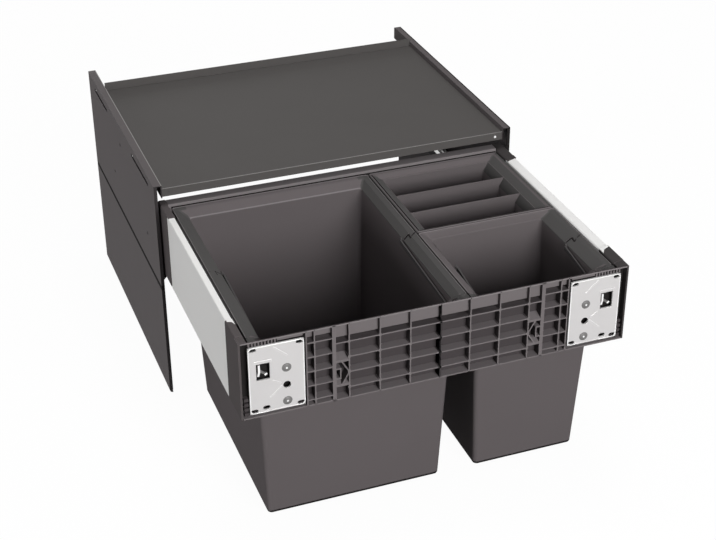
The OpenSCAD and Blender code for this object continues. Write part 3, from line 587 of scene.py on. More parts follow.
def binOutlines(shape):
    s, foot, body, band = binShape, shape["foot"], shape["body"], shape["band"]
    underBody, underBand = s["collarClear"]
    collar = tuple(min(s["collarIn"], a - underBody, b - underBand) for a, b in zip(body, band))
    lift = (s["lineTop"] - s["footTop"]) / (s["bodyTop"] - s["footTop"])
    return {
        "foot": foot, "line": tuple(a + (b - a) * lift for a, b in zip(foot, body)), "body": body,
        "collar": collar, "rim": (0,) * 4, "band": band, "well": grow(foot, s["wall"]),
        "seat": tuple(max(s["seatLeast"], min(s["seatIn"], value - s["seatClear"])) for value in collar),
        "flat": tuple(bandPoints(wide)[1][0] for wide in band),
        "bend": tuple(bandPoints(wide)[2][0] for wide in band),
        "inner": tuple(max(a + s["innerClear"], b + s["wall"]) for a, b in zip(band, body)),
    }


def addNotch(bm, x, pivot, wide, side, lines):
    s = binShape
    share = wide / s["notchFor"]
    for rise, back, thick, look in lines:
        points = [Vector((x - side * inset * share, pivot + run + back, bandHeight(inset * share, wide)))
                  for inset, run in s["notch"]]
        for a, b in zip(points, points[1:]):
            half = (b - a).length / 2
            made = addBox(bm, (-half, -thick / 2, -s["notchSink"]), (half, thick / 2, rise))
            turn = (b - a).to_track_quat("X", "Z").to_matrix().to_4x4()
            bmesh.ops.transform(bm, matrix=Matrix.Translation((a + b) / 2) @ turn, verts=made)
            paint(facesOf(made), binLooks, look)


def lowerFront(bm, low, high, band):
    s = binShape
    for outer, side, wide in ((low.x, 1, band[0]), (high.x, -1, band[1])):
        cuts = [point[0] for point in bandPoints(wide)[1:]] + [wide + s["dropRun"]]
        for inset in cuts:
            cutShell(bm, (outer + side * inset, 0, 0), (1, 0, 0))
    for v in bm.verts:
        if v.co.y > low.y + s["frontReach"] or v.co.z < s["dropFrom"]:
            continue
        inset, wide = min((v.co.x - low.x, band[0]), (high.x - v.co.x, band[1]))
        drop = s["frontDrop"] * min(1, max(0, (inset - wide) / s["dropRun"]))
        if v.co.y < low.y + s["frontLine"]:
            drop = max(drop, s["bandStart"] - bandHeight(max(inset, 0), wide))
        v.co.z -= drop * min(1, (v.co.z - s["dropFrom"]) / (s["bandLow"] - s["dropFrom"]))


def binTone(face, low, high, shape):
    s, band = binShape, shape["band"]
    centre, normal = face.calc_center_median(), face.normal
    away = centre - (low + high) / 2
    outside = normal.z < -s["lean"] or normal.x * away.x + normal.y * away.y > 0
    # painted shade: the outside below the foot line and the underside go near black
    if outside and centre.z < s["lineTop"] - hair:
        return "binSeam"
    # painted highlight: the large bin's back line and the rim's top edge are lighter
    backLine = abs(centre.z - s["bandLow"]) < near / 2 and centre.y > high.y - s["backReach"]
    if shape["large"] and backLine and abs(normal.y) > s["lean"]:
        return "binEdge"
    if centre.z > s["rimTop"] - 3 * hair and centre.y > low.y + s["edgeFrom"]:
        return "binEdge"
    # painted shade: the sloping bands are darker than the rest of the bin
    onLeft = shape["large"] and centre.x < low.x + band[0] + near / 2
    onBand = onLeft or centre.x > high.x - band[1] - near / 2
    sloping = normal.z > s["lean"] and abs(normal.y) < s["upright"] and centre.z > s["bandLow"] - near
    return "binRim" if onBand and sloping else "binPlastic"


def makeBin(node):
    s, shape = binShape, binSides[node]
    low, high = boxMm(node)
    outlines, band = binOutlines(shape), shape["band"]
    rings = [(grow(outlines[outline], step), s[level] + rise, radius)
             for outline, step, level, rise, radius in s["rings"]]
    bm = loftShell(low, high, rings)[0]
    lowerFront(bm, low, high, band)
    faceOut(bm)
    paintEach(bm, binLooks, binTone, low, high, shape)
    pivot = (low.y + high.y) / 2 + shape["notchShift"]
    addNotch(bm, high.x, pivot, band[1], 1, s["notchLines"])
    if shape["large"]:
        addNotch(bm, low.x, pivot, band[0], -1, s["faintLines"])
    finishPiece(node + "_shell", bm, binLooks, node, "bin_plastic", node)


makeBin("left_bin")
makeBin("right_bin")
print("stage: bins")


# bail handles lying along the collar

handleShape = {
    "gap": 1.4, "thick": 2.4, "pivotRise": 306.75, "eye": 2.8, "eyeSides": 28, "low": (301, 292),
    "high": (307.4, 296.5), "frontIn": 21, "corner": 7, "cornerCuts": 6, "pin": 1.6, "pinSink": 1,
    "edge": 0.4, "bandGap": 2.1,
}


def makeHandle(binNode, body):
    s = handleShape
    low, high = boxMm(binNode)
    band, wall = binSides[binNode]["band"], grow(binSides[binNode]["body"], binShape["wall"])
    left, right = (max(a + s["bandGap"], b + s["gap"]) for a, b in zip(band[:2], wall))
    left, right = low.x + left, high.x - right
    pivot = (low.y + high.y) / 2
    front = low.y + s["frontIn"]
    bm = bmesh.new()
    path = [(left, pivot, 0), (left, front, 1), (right, front, 1), (right, pivot, 0)]
    verts = [bm.verts.new((x, y, s["low"][i])) for x, y, i in path]
    edges = [bm.edges.new(pair) for pair in zip(verts, verts[1:])]
    for v in vertsIn(bmesh.ops.extrude_edge_only(bm, edges=edges)["geom"]):
        v.co.z = s["high"][1 if v.co.y < pivot - near else 0]
    upright = [e for e in bm.edges if len(e.link_faces) == 2]
    bevel(bm, upright, s["corner"], s["cornerCuts"])
    faceOut(bm)
    bmesh.ops.solidify(bm, geom=bm.faces[:], thickness=s["thick"])
    faceOut(bm)
    for x, side in ((left, -1), (right, 1)):
        addRod(bm, (x, pivot, s["pivotRise"]), s["eye"], s["thick"], "X", segments=s["eyeSides"])
        addRod(bm, (x + side * s["pin"] / 2, pivot, s["pivotRise"]), s["pin"], s["pin"] + s["pinSink"], "X")
    soften(bm, s["edge"])
    node = binNode + "_handle"
    finishPiece(node + "_strap", bm, "handlePlastic", body, "handle_plastic", node)


makeHandle("left_bin", "left_handle")
makeHandle("right_bin", "right_handle")
print("stage: handles")


# organiser

organiserShape = {
    "floor": 199, "deck": 311, "rimUnder": 316.5, "rimTop": 318.6, "wall": 2, "deckIn": 13,
    "slots": 3, "divider": 2, "lip": (0.7, 0.5, 0.3), "shoulder": (13, 7, 0), "floorRest": 1.2,
    "groove": (3.7, 5.6), "grooveDeep": 0.8, "grooveStop": (3.5, 3.7), "stopDeep": 0.6,
    "edgeFrom": 3, "level": 0.5, "lean": 0.3, "bandLean": 0.15,
    "rings": (      # left, right, front and back insets, level and rise over it, corner radius
        ((22, 22, 14, 14), "floor", 0, 3), ((20.4, 20.4, 12.4, 12.4), "floor", 0.8, 4),
        ((20, 20, 12, 12), "floor", 2.4, 4.4), ((20, 20, 12, 12), "deck", -16, 4.4),
        ((12.6, 12.6, 12, 12), "deck", -3.6, 4.4), ((12,) * 4, "deck", -2.4, 4.4),
        ((12,) * 4, "deck", 1.6, 4.4), ((7.6,) * 4, "rimUnder", -0.4, 4.2), ((7,) * 4, "rimUnder", 0, 4),
        ((0.4,) * 4, "rimUnder", 0, 3), ((0,) * 4, "rimUnder", 0.4, 3.4), ((0,) * 4, "rimTop", -0.8, 3.4),
        ((0.3,) * 4, "rimTop", -0.2, 3.2), ((1,) * 4, "rimTop", 0, 2.8), ((1.9,) * 4, "rimTop", -0.3, 2.6),
        ((3.6,) * 4, "rimTop", -0.4, 2.6), ((4, 3.62, 4, 3.62), "rimTop", -1.5, 2.6),
        ((5.2, 3.64, 5.2, 3.64), "rimTop", -1.6, 2.6), ((5.6, 3.66, 5.6, 3.66), "rimTop", -0.8, 2.6),
        ((7, 7, 6.4, 6.4), "rimTop", -1.1, 2.8), ((17.2, 17.2, 12.5, 12.5), "deck", 0.3, 3),
        ((18, 18, 13, 13), "deck", 0, 3)),
}


def organiserTone(face, low, high):
    s = organiserShape
    centre, normal = face.calc_center_median(), face.normal
    inset = min(centre.x - low.x, centre.y - low.y)
    # painted highlight: the rim's top is lighter
    onTop = normal.z > s["level"] and centre.z > s["rimTop"] - 3 * hair
    if onTop and low.x + s["edgeFrom"] < centre.x < high.x - s["edgeFrom"]:
        return "binEdge"
    # painted shade: the groove goes near black
    if s["rimUnder"] < centre.z < s["rimTop"] - s["grooveDeep"] and s["groove"][0] < inset < s["groove"][1]:
        return "binSeam"
    # painted shade: the shoulder and the sloping bands are darker
    onShoulder = centre.z > s["deck"] - s["shoulder"][0] and normal.x < -s["lean"]
    onBand = centre.z > s["deck"] - hair and abs(normal.x) > s["bandLean"]
    return "binRim" if normal.z > s["lean"] and (onShoulder or onBand) else "binPlastic"


def makeOrganiser():
    s = organiserShape
    low, high = boxMm("organiser_box")
    rings = [(insets, s[level] + rise, radius) for insets, level, rise, radius in s["rings"]]
    bm, cap = loftShell(low, high, rings)
    for v in bm.verts:      # the groove runs along the left and the front only
        inset = min(high.x - v.co.x, high.y - v.co.y)
        if v.co.z > s["rimUnder"] and s["grooveStop"][0] < inset < s["grooveStop"][1]:
            v.co.z = s["rimTop"] - s["stopDeep"]
    faceOut(bm)
    first = low.y + s["deckIn"]
    pitch = (high.y - low.y - 2 * s["deckIn"]) / s["slots"]
    parts = [cap]
    for i in range(1, s["slots"]):
        geom = parts + list({e for f in parts for e in f.edges}) + list({v for f in parts for v in f.verts})
        bmesh.ops.bisect_plane(bm, geom=geom, plane_co=(0, first + i * pitch, 0), plane_no=(0, 1, 0))
        parts = [f for f in bm.faces
                 if f.normal.z > s["level"] and abs(f.calc_center_median().z - s["deck"]) < hair / 2]
    bmesh.ops.inset_individual(bm, faces=parts, thickness=s["divider"] / 2)
    depth = s["deck"] - s["floor"] - s["wall"] - s["shoulder"][0] - s["floorRest"]
    for drop, run, ease in (s["lip"], s["shoulder"], (depth, 0, 0)):
        parts = bmesh.ops.extrude_discrete_faces(bm, faces=parts)["faces"]
        for face in parts:
            centre = face.calc_center_median()
            halfX = max(abs(v.co.x - centre.x) for v in face.verts)
            halfY = max(abs(v.co.y - centre.y) for v in face.verts)
            scaleAbout(bm, face.verts, centre, ((halfX - run) / halfX, (halfY - ease) / halfY, 1))
            shift(bm, face.verts, 0, 0, -drop)
    paintEach(bm, binLooks, organiserTone, low, high)
    finishPiece("organiser_shell", bm, binLooks, "organiser", "bin_plastic", "organiser_box")


makeOrganiser()
print("stage: organiser")


# folded sheet: side panels, lid, drawer sides, rear beam, ledges and hangers

panelLooks = "panelPaint panelEdge lidEdge binSeam"
panelShape = {
    "edge": 0.5, "jointStrip": 2.4, "jointShift": 1.2, "backStrip": 2.2, "footStrip": 3, "lipStrip": 1.2,
    "rimStrip": 2.2, "slitZ": 342, "slitHalf": 1, "slitGrow": 1.5, "slitWall": 6,
    "slitsY": ((5.5, 113.5), (284.5, 378.5)), "level": 0.6,
    "backX": (277.6, 278.6), "backPast": 2, "backZ": (331, 346),      # dark strips behind the slits
}
sideShape = {
    "edge": 0.35, "topIn": 262.4, "keepX": 261, "keepZ": 322,
    "drop": 3, "dropFrom": 270, "dropRun": 11, "dropAbove": 321, "narrowBy": 3.4, "narrowAbove": 250,
    "tipZ": (323.6, 325), "tipOuter": 4, "tipBend": 2.2, "tipRun": 13, "tipBack": 1, "tipIn": (1.2, 0.4),
}
lidLooks = "lidPaint lidEdge"
lidShape = {"bend": 1.5, "line": 1.8, "lineRise": 6, "lean": 0.3, "skirtDrop": 1.4, "skirtBelow": 339,
            "rivetShare": 0.62}
restShape = {
    "edge": 0.3, "ledgeSeat": -262.6, "sealZ": (316.8, 319.9), "sealY": (-32.1, -31.4), "sealIn": 1,
    "limits": {      # axis and limits that keep each supporting flange clear of the sloping rims
        "rear_beam": (1, -35.5, 0), "ledge_left": (0, -281, -254.2), "ledge_right": (0, 254.2, 281),
        "middle_hanger": (0, 41, 49), "cross_hanger": (1, -232.5, -224.5)},
}


def dropInner(bm):
    s = sideShape
    for v in bm.verts:
        if v.co.z > s["dropAbove"]:
            v.co.z -= s["drop"] * min(1, max(0, (s["dropFrom"] - abs(v.co.x)) / s["dropRun"]))


def narrowInner(bm, reach=0):
    s = sideShape
    cutShell(bm, (0, 0, s["narrowAbove"]), (0, 0, 1))
    for v in bm.verts:
        if v.co.z > s["narrowAbove"] + near and -s["topIn"] < v.co.x < reach:
            v.co.x -= s["narrowBy"]


def panelTone(face, low, high, turn, upper, joint, outer, lip):
    s = panelShape
    centre = face.calc_center_median()
    onTop = upper and face.normal.z > s["level"] and centre.z > high.z - near
    onFront = centre.y < low.y + near
    # painted shade: the joint strip and, on the right panels, the front and the outer top edge go near black
    blackEdge = turn > 0 and (onFront or onTop and centre.x > outer)
    if blackEdge or (centre.z < joint if upper else centre.z > joint):
        return "binSeam"
    # painted highlight on the left panels' top lip and strips, painted shade on the front fold, back strip,
    # foot band and the right top lip
    onLip = onTop and turn * centre.x < lip
    if onLip or onFront or centre.y > high.y - s["backStrip"] or not upper and centre.z < s["footStrip"]:
        return "lidEdge" if onTop and turn < 0 else "panelEdge"
    return "panelPaint"


def makePanel(node, turn):
    s = panelShape
    bm, low, high = nodeCopy(node)
    upper = node.startswith("upper")
    inside, outside = sorted((abs(low.x), abs(high.x)))
    for v in bm.verts:
        off = v.co.z - s["slitZ"]
        if upper and abs(v.co.x) > outside - s["slitWall"] and abs(abs(off) - s["slitHalf"]) < hair:
            v.co.z += math.copysign(s["slitGrow"], off)
        if upper and v.co.z < low.z + hair:
            v.co.z -= s["jointShift"]
        if not upper and v.co.z > high.z - hair:
            v.co.z += s["jointShift"]
    soften(bm, s["edge"])
    joint = low.z + s["jointStrip"] if upper else high.z - s["jointStrip"]
    outer, lip = outside - s["rimStrip"], inside + s["lipStrip"]
    cuts = [((0, 0, joint), (0, 0, 1)), ((0, high.y - s["backStrip"], 0), (0, 1, 0))]
    if upper:
        cuts += [((turn * outer, 0, 0), (1, 0, 0)), ((turn * lip, 0, 0), (1, 0, 0))]
    else:
        cuts.append(((0, 0, s["footStrip"]), (0, 0, 1)))
    for point, normal in cuts:
        cutShell(bm, point, normal)
    paintEach(bm, panelLooks, panelTone, low, high, turn, upper, joint, outer, lip)
    # painted shade: near-black strips behind the slits
    for start, end in s["slitsY"] if upper else ():
        left, right = sorted(turn * x for x in s["backX"])
        back = addBox(bm, (left, start - s["backPast"], s["backZ"][0]),
                      (right, end + s["backPast"], s["backZ"][1]))
        paint(facesOf(back), panelLooks, "binSeam")
    finishPiece(node + "_sheet", bm, panelLooks, "carcass", "panel_steel", node)


def makeSide(node, turn):
    s = sideShape
    bm, low, high = nodeCopy(node)
    if turn < 0:
        narrowInner(bm)
    kept = [e for e in sharpEdges(bm)
            if turn < 0 or any(v.co.x > s["keepX"] or v.co.z < s["keepZ"] for v in e.verts)]
    soften(bm, s["edge"], edges=kept)
    outer = turn * (max(abs(low.x), abs(high.x)) - s["tipIn"][0])
    inner = -s["topIn"] - s["tipIn"][1] if turn < 0 else low.x - s["tipIn"][1]
    corners = [(outer, low.y + s["tipBack"]), (outer, low.y - s["tipOuter"]),
               ((outer + 2 * inner) / 3, low.y - s["tipOuter"] - s["tipBend"]),
               (inner, low.y - s["tipRun"]), (inner, low.y + s["tipBack"])]
    tipLow, tipHigh = s["tipZ"]
    addSlab(bm, [(x, y, tipLow) for x, y in corners], (0, 0, tipHigh - tipLow))
    if turn > 0:
        dropInner(bm)
    finishPiece(node + "_sheet", bm, "whitePaint", "drawer", "white_steel", node)


def makeLid():
    s = lidShape
    bm, low = nodeCopy("lid_shelf")[:2]
    line = low.y + s["line"]
    skirt = [v for v in bm.verts if v.co.z < s["skirtBelow"]]
    shift(bm, skirt, 0, 0, -s["skirtDrop"])
    soften(bm, s["bend"])
    cutShell(bm, (0, line, 0), (0, 1, 0))
    # painted highlight: the faces along the front bend line are lighter
    for face in bm.faces:
        centre = face.calc_center_median()
        onLine = centre.y < line and centre.z > s["skirtBelow"] + s["lineRise"]
        paint([face], lidLooks, "lidEdge" if onLine and face.normal.z > s["lean"] else "lidPaint")
    finishPiece("lid_shelf_sheet", bm, lidLooks, "carcass", "lid_steel", "lid_shelf")


def makeLidRivets():
    bm, low, high = nodeCopy("lid_rivets")
    reach = high.z - low.z
    share = lidShape["rivetShare"]
    for turn in (-1, 1):
        middle = Vector((turn * (high.x - reach / 2), (low.y + high.y) / 2, (low.z + high.z) / 2))
        one = [v for v in bm.verts if v.co.x * turn > 0 and abs(v.co.x - middle.x) < reach]
        scaleAbout(bm, one, middle, (share, 1, share))
    soften(bm, restShape["edge"])
    looks = "brightZinc lidPaint"
    for face in bm.faces:
        paint([face], looks, "brightZinc" if face.calc_center_median().x > 0 else "lidPaint")
    finishPiece("lid_rivets_heads", bm, looks, "carcass", slotOf["lid_rivets"], "lid_rivets")


def makeRest(node):
    s = restShape
    bm, low, high = nodeCopy(node)
    looks = "rearPaint binSeam" if node == "rear_beam" else "darkSteel"
    axis, least, most = s["limits"][node]
    for v in bm.verts:
        onSide = node == "ledge_left" and v.co.x < low.x + near
        v.co[axis] = s["ledgeSeat"] if onSide else min(max(v.co[axis], least), most)
    if node == "rear_beam":      # its left end meets the slimmer cap there
        narrowInner(bm, low.x + near)
    soften(bm, s["edge"])
    # painted shade: a near-black strip where the gap between the rear beam and the rims lies in shade
    if node == "rear_beam":
        seal = addBox(bm, (low.x + s["sealIn"], s["sealY"][0], s["sealZ"][0]),
                      (high.x - s["sealIn"], s["sealY"][1], s["sealZ"][1]))
        paint(facesOf(seal), looks, "binSeam")
    finishPiece(node + "_sheet", bm, looks, "drawer", "dark_steel", node)


for sideName, sideTurn in sides:
    makePanel("upper_panel_" + sideName, sideTurn)
    makePanel("lower_panel_" + sideName, sideTurn)
    makeSide("drawer_side_" + sideName, sideTurn)
makeLid()
makeLidRivets()
for restName in restShape["limits"]:
    makeRest(restName)
print("stage: sheet")


# front beam and corner pieces

beamLooks = "beamPlastic beamEdge beamPocket beamShelf binRim binSeam"
beamShape = {
    "low": 208, "top": 323, "front": -422.5, "web": -409, "root": -408.5, "webTop": 310.5,
    "rib": 1.8, "edge": 0.3, "boss": 2.3, "outerBoss": 2.07, "bossLong": 13.2, "bossSides": 14,
    "middleX": (0, 42.17, 84.33, 126.5), "middleRows": (295, 271.7, 248.4, 225.1),
    "heavyX": 147, "heavyRib": 5, "outerX": 173, "recessX": 184,
    "outerRows": (304, 282.3, 260.6, 238.9, 217.2),
    "rowFront": -422.25, "shelfFront": -422.2, "barFront": -422.3,
    "padFront": -416, "padBack": -413.9, "padTop": 318.6, "padRise": 5.6,
    "braceZ": 248.4, "braceRise": 18.6, "braceRun": 11, "shelfThick": 3.2, "shelfLean": 5, "shelfEnd": 144.9,
    "combX": (223.5, 259), "combStep": 4.3, "combTooth": 2.1, "combY": (-422.1, -418.5),
    "combZ": (315.6, 321.6),
    "dotsZ": (212, 219.4, 226.8, 234.2), "dotHigh": 4.6, "dotsX": (262, 268), "dotsFront": -420.5,
    "boxes": {
        "lip": ((0, -422.5, 321), (270, -420.3, 323)), "foot": ((0, -422.5, 208), (269.8, -406.5, 209.8)),
        "web": ((0, -409, 208.4), (269.8, -406.5, 310.5)),
        "ledge": ((0, -406.9, 303.4), (258.2, -398.9, 306.6)),
        # the shade box is a sheet behind the plates, painted near black as shade
        "shade": ((185, -413.4, 212), (269.6, -412.6, 316)),
        "strap": ((188, -421.9, 317.8), (222, -419.5, 321.6)),
        "keyPost": ((137.7, -422.4, 240.1), (139.5, -408.5, 256.7)),
        "keyFoot": ((139.3, -422.3, 240.1), (144.9, -408.5, 241.9)),
        "keyHead": ((139.3, -422.3, 254.9), (144.9, -408.5, 256.7))},
    "saddleLow": 303.6, "saddleSink": 0.2, "saddleY": (-413.8, -405.6),
    "frontSkin": -421.9, "backSkin": -408.7, "shadeFrom": -413.5, "lipFrom": 320, "dotsTo": 240.2,
    "facing": 0.8, "flat": 0.95, "turned": 0.7,
}
cornerShape = {
    "edge": 0.7, "inner": 258.2, "rearRun": 8, "rearLap": 2, "rearIn": 0.4, "rearZ": (1.2, 0.3),
    "boxes": {"skirt": ((270.2, -422.5, 208), (272.8, -405.9, 323.2)),
              "cap": ((258.2, -420.3, 320.8), (270.2, -405.9, 323.1))},
}


def beamHalf(bm):
    s = beamShape
    thin = s["middleX"] + (s["outerX"], s["recessX"])
    for x, wide in [(x, s["rib"]) for x in thin] + [(s["heavyX"], s["heavyRib"])]:
        made = addBox(bm, (x - wide / 2, s["front"], s["low"]), (x + wide / 2, s["root"], s["top"]))
        tilt = [v for v in made if v.co.y > s["web"] and v.co.z > s["webTop"]]
        shift(bm, tilt, 0, 0, s["webTop"] - s["top"])
    bosses = [(x, z, s["boss"]) for x in s["middleX"] for z in s["middleRows"]]
    for x, z, radius in bosses + [(s["outerX"], z, s["outerBoss"]) for z in s["outerRows"]]:
        addRod(bm, (x, (s["front"] + s["web"]) / 2, z), radius, s["bossLong"], "Y", segments=s["bossSides"])
    rows = [(0, s["heavyX"], s["middleRows"][0])] + [(0, s["middleX"][-1], z) for z in s["middleRows"][1:]]
    for start, end, z in rows + [(s["heavyX"], s["recessX"], z) for z in s["outerRows"]]:
        addBox(bm, (start, s["rowFront"], z - s["rib"] / 2), (end, s["root"], z + s["rib"] / 2))
    padsX = s["middleX"] + (s["heavyX"],)
    pads = [(a, b, s["middleRows"][0]) for a, b in zip(padsX, padsX[1:])]
    for a, b, row in pads + [(s["heavyX"], s["recessX"], s["outerRows"][0])]:
        addBox(bm, (a, s["padFront"], row + s["padRise"]), (b, s["padBack"], s["padTop"]))
    start = s["middleX"][-1]
    for shelf in (s["braceZ"] - s["braceRise"], s["braceZ"] + s["braceRise"]):
        made = addBox(bm, (start, s["shelfFront"], shelf - s["shelfThick"] / 2),
                      (s["shelfEnd"], s["root"], shelf + s["shelfThick"] / 2))
        shift(bm, [v for v in made if v.co.y > s["web"] and v.co.z > shelf], 0, 0, s["shelfLean"])
        addBar(bm, (start, s["braceZ"]), (start + s["braceRun"], shelf), s["rib"], s["barFront"], s["root"])
    x, end = s["combX"]
    while x <= end:
        addBox(bm, (x, s["combY"][0], s["combZ"][0]), (x + s["combTooth"], s["combY"][1], s["combZ"][1]))
        x += s["combStep"]
    for z in s["dotsZ"]:
        addBox(bm, (s["dotsX"][0], s["dotsFront"], z), (s["dotsX"][1], s["web"], z + s["dotHigh"]))
    for corners in s["boxes"].values():
        addBox(bm, *corners)


def beamTone(face):
    s = beamShape
    centre, normal = face.calc_center_median(), face.normal
    reach = abs(centre.x)
    # painted shade: the dots are darkened
    onDots = reach > s["dotsX"][0] - hair and centre.z < s["dotsTo"]
    if onDots and s["dotsFront"] - near / 2 < centre.y < s["shadeFrom"]:
        return "beamPocket"
    # painted highlight: the front skin's bevels and the lip are lighter
    if centre.y < s["frontSkin"]:
        return "beamPlastic" if normal.y < -s["flat"] and centre.z < s["lipFrom"] else "beamEdge"
    if centre.y > s["backSkin"]:
        return "beamPlastic"
    if normal.y < -s["facing"]:
        # painted shade: the web behind the plates goes near black, the pocket backs are darkened
        if reach > s["recessX"] + near and centre.y > s["shadeFrom"]:
            return "binSeam"
        return "beamPocket" if centre.y > s["padBack"] else "beamPlastic"
    # painted shade on the pocket walls and undersides, painted light on the rib tops
    row = (s["middleRows"] if reach < s["heavyX"] else s["outerRows"])[0]
    inPocket = abs(normal.x) > s["turned"] or normal.z < -s["turned"] or centre.z > row - near
    return "beamPocket" if inPocket else "beamShelf"


def addSaddles(bm):
    s = beamShape
    front, back = s["saddleY"]
    for node in binSides:
        low, high = boxMm(node)
        band = binSides[node]["band"]
        for outer, side, wide in ((low.x, 1, band[0]), (high.x, -1, band[1])):
            line = [(inset, level - s["saddleSink"]) for inset, level in bandPoints(wide)]
            line += [(wide, s["saddleLow"]), (0, s["saddleLow"])]
            outline = [(outer + side * inset, front, level) for inset, level in line]
            # painted shade: the saddles take the darker finish of the sloping bands
            paint(addSlab(bm, outline, (0, back - front, 0)), beamLooks, "binRim")


def makeBeam():
    half = bmesh.new()
    beamHalf(half)
    bm = half.copy()
    mirrorX(half)
    addShape(bm, half)
    soften(bm, beamShape["edge"])
    paintEach(bm, beamLooks, beamTone)
    addSaddles(bm)
    finishPiece("front_beam_ribs", bm, beamLooks, "drawer", "frame_plastic", "front_beam")


def makeCorner(end, side, turn):
    s = cornerShape
    node = end + "_corner_" + side
    bm, low, high = nodeCopy(node)
    if end == "front":
        extra = bmesh.new()
        for corners in s["boxes"].values():
            addBox(extra, *corners)
        if turn < 0:
            mirrorX(extra)
        addShape(bm, extra)
    else:
        reach = (high.x if turn > 0 else low.x) - turn * s["rearIn"]
        left, right = sorted((reach, turn * (s["inner"] + s["rearIn"])))
        addBox(bm, (left, low.y - s["rearRun"], high.z - s["rearZ"][0]),
               (right, low.y + s["rearLap"], high.z + s["rearZ"][1]))
    if turn < 0:
        narrowInner(bm)
    else:
        dropInner(bm)
    # painted highlight on the left caps' bevelled edges; the right caps are painted shade all over, their
    # bevels keeping the plain finish
    soften(bm, s["edge"], tone=1)
    looks = "cornerPlastic cornerEdge" if turn < 0 else "cornerShade cornerPlastic"
    finishPiece(node + "_cap", bm, looks, "drawer", "frame_plastic", node)


makeBeam()
for sideName, sideTurn in sides:
    makeCorner("front", sideName, sideTurn)
    makeCorner("rear", sideName, sideTurn)
print("stage: beam")


# stamped front plates, rivets and height adjusters

plateLooks = "stampedZinc brightZinc rivetZinc"
plateShape = {
    "front": -423, "root": -422.6, "rim": 1, "stampEdge": 0.3,
    "slots": ((255, 218.5), (193, 218.5), (255, 310.5), (193, 310.5), (239, 221.5)),
    "slotReach": (5, 3.2), "slotGrow": (1.22, 1, 1.26),
    "hole": (211, 250), "holeReach": (5, 5), "holeGrow": (1.3, 1, 1.3),
    "window": (242, 276.5), "hood": (11.5, 14, 17.2, 0.8),      # half width, lower and upper rise, height
    "bead": (199, 235, 216.2, 1.1), "beadSides": 14,
    "ridges": (((210, 294.5), (227.7, 310)), ((219, 254.5), (230, 260.5)), ((218, 250), (233.6, 235.5))),
    "ridgeWide": 2.2, "ridgeHigh": 0.45,
    "frame": (187.8, 260.2, 215.3, 313.7), "frameCut": 3.4, "frameWide": 1.3, "frameHigh": 0.3,
    "rivets": ((211, 276), (211, 225.5)),
    "dimple": (6.7, 6, 0.3), "dimpleSink": 0.1, "dimpleSides": 30,
}
rivetShape = {
    "profile": ((5.4, 0), (5.3, 0.45), (4.5, 1), (3.2, 1.32), (1.7, 1.4), (1.4, 1.2), (0, 1.2)),
    "turns": 28, "pinReach": 1.5, "merge": 0.01,
}
adjusterShape = {
    "front": -419.5, "disc": 6.9, "discThick": 2.6, "discSides": 32, "shaft": (2.5, 10, 8),
    "sink": 2.4, "lap": 0.4, "wide": 2.8, "edge": 0.5, "legBack": 0.8, "bright": 0.7,
    "bars": (((-4.2, 8.2), (-4.2, -3)), ((-4.2, -2.6), (-5.6, -8.4)), ((3, -7.6), (6.4, -5.6))),
    "leg": ((-3.4, -0.8), (4.2, -6.6)),
}


def addFrame(bm):
    s = plateShape
    left, right, low, high = s["frame"]
    cut = s["frameCut"]
    corners = [(left + cut, low), (right - cut, low), (right, low + cut), (right, high - cut),
               (right - cut, high), (left + cut, high), (left, high - cut), (left, low + cut)]
    for start, end in zip(corners, corners[1:] + corners[:1]):
        made = addBar(bm, start, end, s["frameWide"], s["front"] - s["frameHigh"], s["root"])
        # painted highlight: the raised frame's bars are bright
        paint(facesOf(made), plateLooks, "brightZinc")


def addStamping(bm):
    s = plateShape
    flat, root = s["front"], s["root"]
    x, z = s["window"]
    half, rise, upper, high = s["hood"]
    addBox(bm, (x - half, flat - high, z + rise), (x + half, root, z + upper))
    start, end, z, radius = s["bead"]
    addRod(bm, ((start + end) / 2, flat, z), radius, end - start, "X", segments=s["beadSides"])
    for start, end in s["ridges"]:
        addBar(bm, start, end, s["ridgeWide"], flat - s["ridgeHigh"], root)
    addFrame(bm)
    wide, tip, deep = s["dimple"]
    # painted shade: the rings round the rivets take the darker zinc
    for x, z in s["rivets"]:
        ring = addRod(bm, (x, flat - deep / 2 + s["dimpleSink"], z), wide, deep, "Y", tip=tip,
                      segments=s["dimpleSides"])
        paint(facesOf(ring), plateLooks, "rivetZinc")
    # painted highlight: the stamped shapes' bevels are bright
    soften(bm, s["stampEdge"], tone=1)


def makePlate(side, turn):
    s = plateShape
    node = "front_plate_" + side
    bm = nodeCopy(node)[0]
    holes = [(place, s["slotReach"], s["slotGrow"]) for place in s["slots"]]
    for (x, z), (wide, high), growth in holes + [(s["hole"], s["holeReach"], s["holeGrow"])]:
        ring = [v for v in bm.verts if abs(v.co.x - turn * x) < wide and abs(v.co.z - z) < high]
        scaleAbout(bm, ring, Vector((turn * x, 0, z)), growth)
    # painted highlight: the plate's bevelled outline is bright
    outline = [e for e in sharpEdges(bm) if all(v.co.y < s["front"] + hair for v in e.verts)]
    soften(bm, s["rim"], edges=outline, tone=1)
    stamp = bmesh.new()
    addStamping(stamp)
    if turn < 0:
        mirrorX(stamp)
    addShape(bm, stamp)
    finishPiece(node + "_stamping", bm, plateLooks, "drawer", "zinc_plate", node)


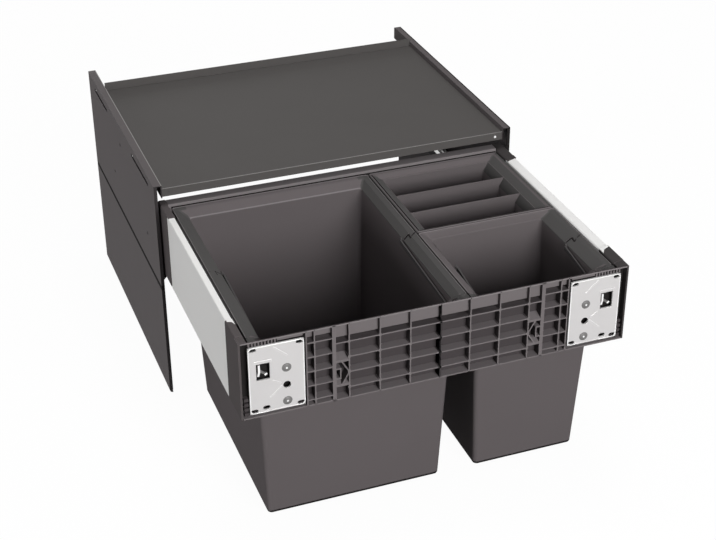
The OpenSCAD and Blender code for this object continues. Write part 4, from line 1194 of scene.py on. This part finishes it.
def makeRivets():
    s, looks = rivetShape, "rivetZinc brightZinc"
    bm = bmesh.new()
    for turn in (-1, 1):
        for x, z in plateShape["rivets"]:
            centre = Vector((turn * x, plateShape["front"], z))
            verts = [bm.verts.new(centre + Vector((r, -rise, 0))) for r, rise in s["profile"]]
            edges = [bm.edges.new(pair) for pair in zip(verts, verts[1:])]
            bmesh.ops.spin(bm, geom=verts + edges, cent=centre, axis=(0, 1, 0), dvec=(0, 0, 0),
                           angle=2 * math.pi, steps=s["turns"], use_merge=True, use_duplicate=False)
    bmesh.ops.remove_doubles(bm, verts=bm.verts, dist=s["merge"])
    faceOut(bm)
    # painted highlight: the small middle of each dome is bright, a painted glint
    for face in bm.faces:
        c = face.calc_center_median()
        reach = min(math.hypot(abs(c.x) - x, c.z - z) for x, z in plateShape["rivets"])
        paint([face], looks, "brightZinc" if reach < s["pinReach"] else "rivetZinc")
    finishPiece("plate_rivets_domes", bm, looks, "drawer", "zinc_fastener", "plate_rivets")


def makeAdjuster(side, turn):
    s, looks = adjusterShape, "brightZinc binSeam rivetZinc"
    x, z = plateShape["window"]
    front, back = s["front"], s["front"] + s["sink"] + s["lap"]
    bm = bmesh.new()
    addRod(bm, (0, front + s["sink"] + s["discThick"] / 2, 0), s["disc"], s["discThick"], "Y",
           segments=s["discSides"])
    shaft, shaftRun, shaftAt = s["shaft"]
    addRod(bm, (0, front + shaftAt, 0), shaft, shaftRun, "Y")
    soften(bm, s["edge"])
    dark = len(bm.faces)
    for start, end in s["bars"]:
        addBar(bm, start, end, s["wide"], front, back)
    addBar(bm, *s["leg"], s["wide"], front + s["legBack"], back)
    bm.faces.ensure_lookup_table()
    soften(bm, s["edge"], edges=list({e for f in bm.faces[dark:] for e in f.edges}))
    # painted highlight on the hook's front faces, darker zinc on its deeper faces, and painted shade: the
    # disc behind it goes near black
    for face in bm.faces:
        deep = face.calc_center_median().y - front
        inHook = "brightZinc" if deep < s["bright"] else "rivetZinc"
        paint([face], looks, inHook if deep < s["sink"] - hair / 2 else "binSeam")
    shift(bm, bm.verts, turn * x, 0, z)
    node = "height_adjuster_" + side
    finishPiece(node + "_hook", bm, looks, "adjuster_" + side, "zinc_fastener", node)


for sideName, sideTurn in sides:
    makePlate(sideName, sideTurn)
    makeAdjuster(sideName, sideTurn)
makeRivets()
print("stage: plates")
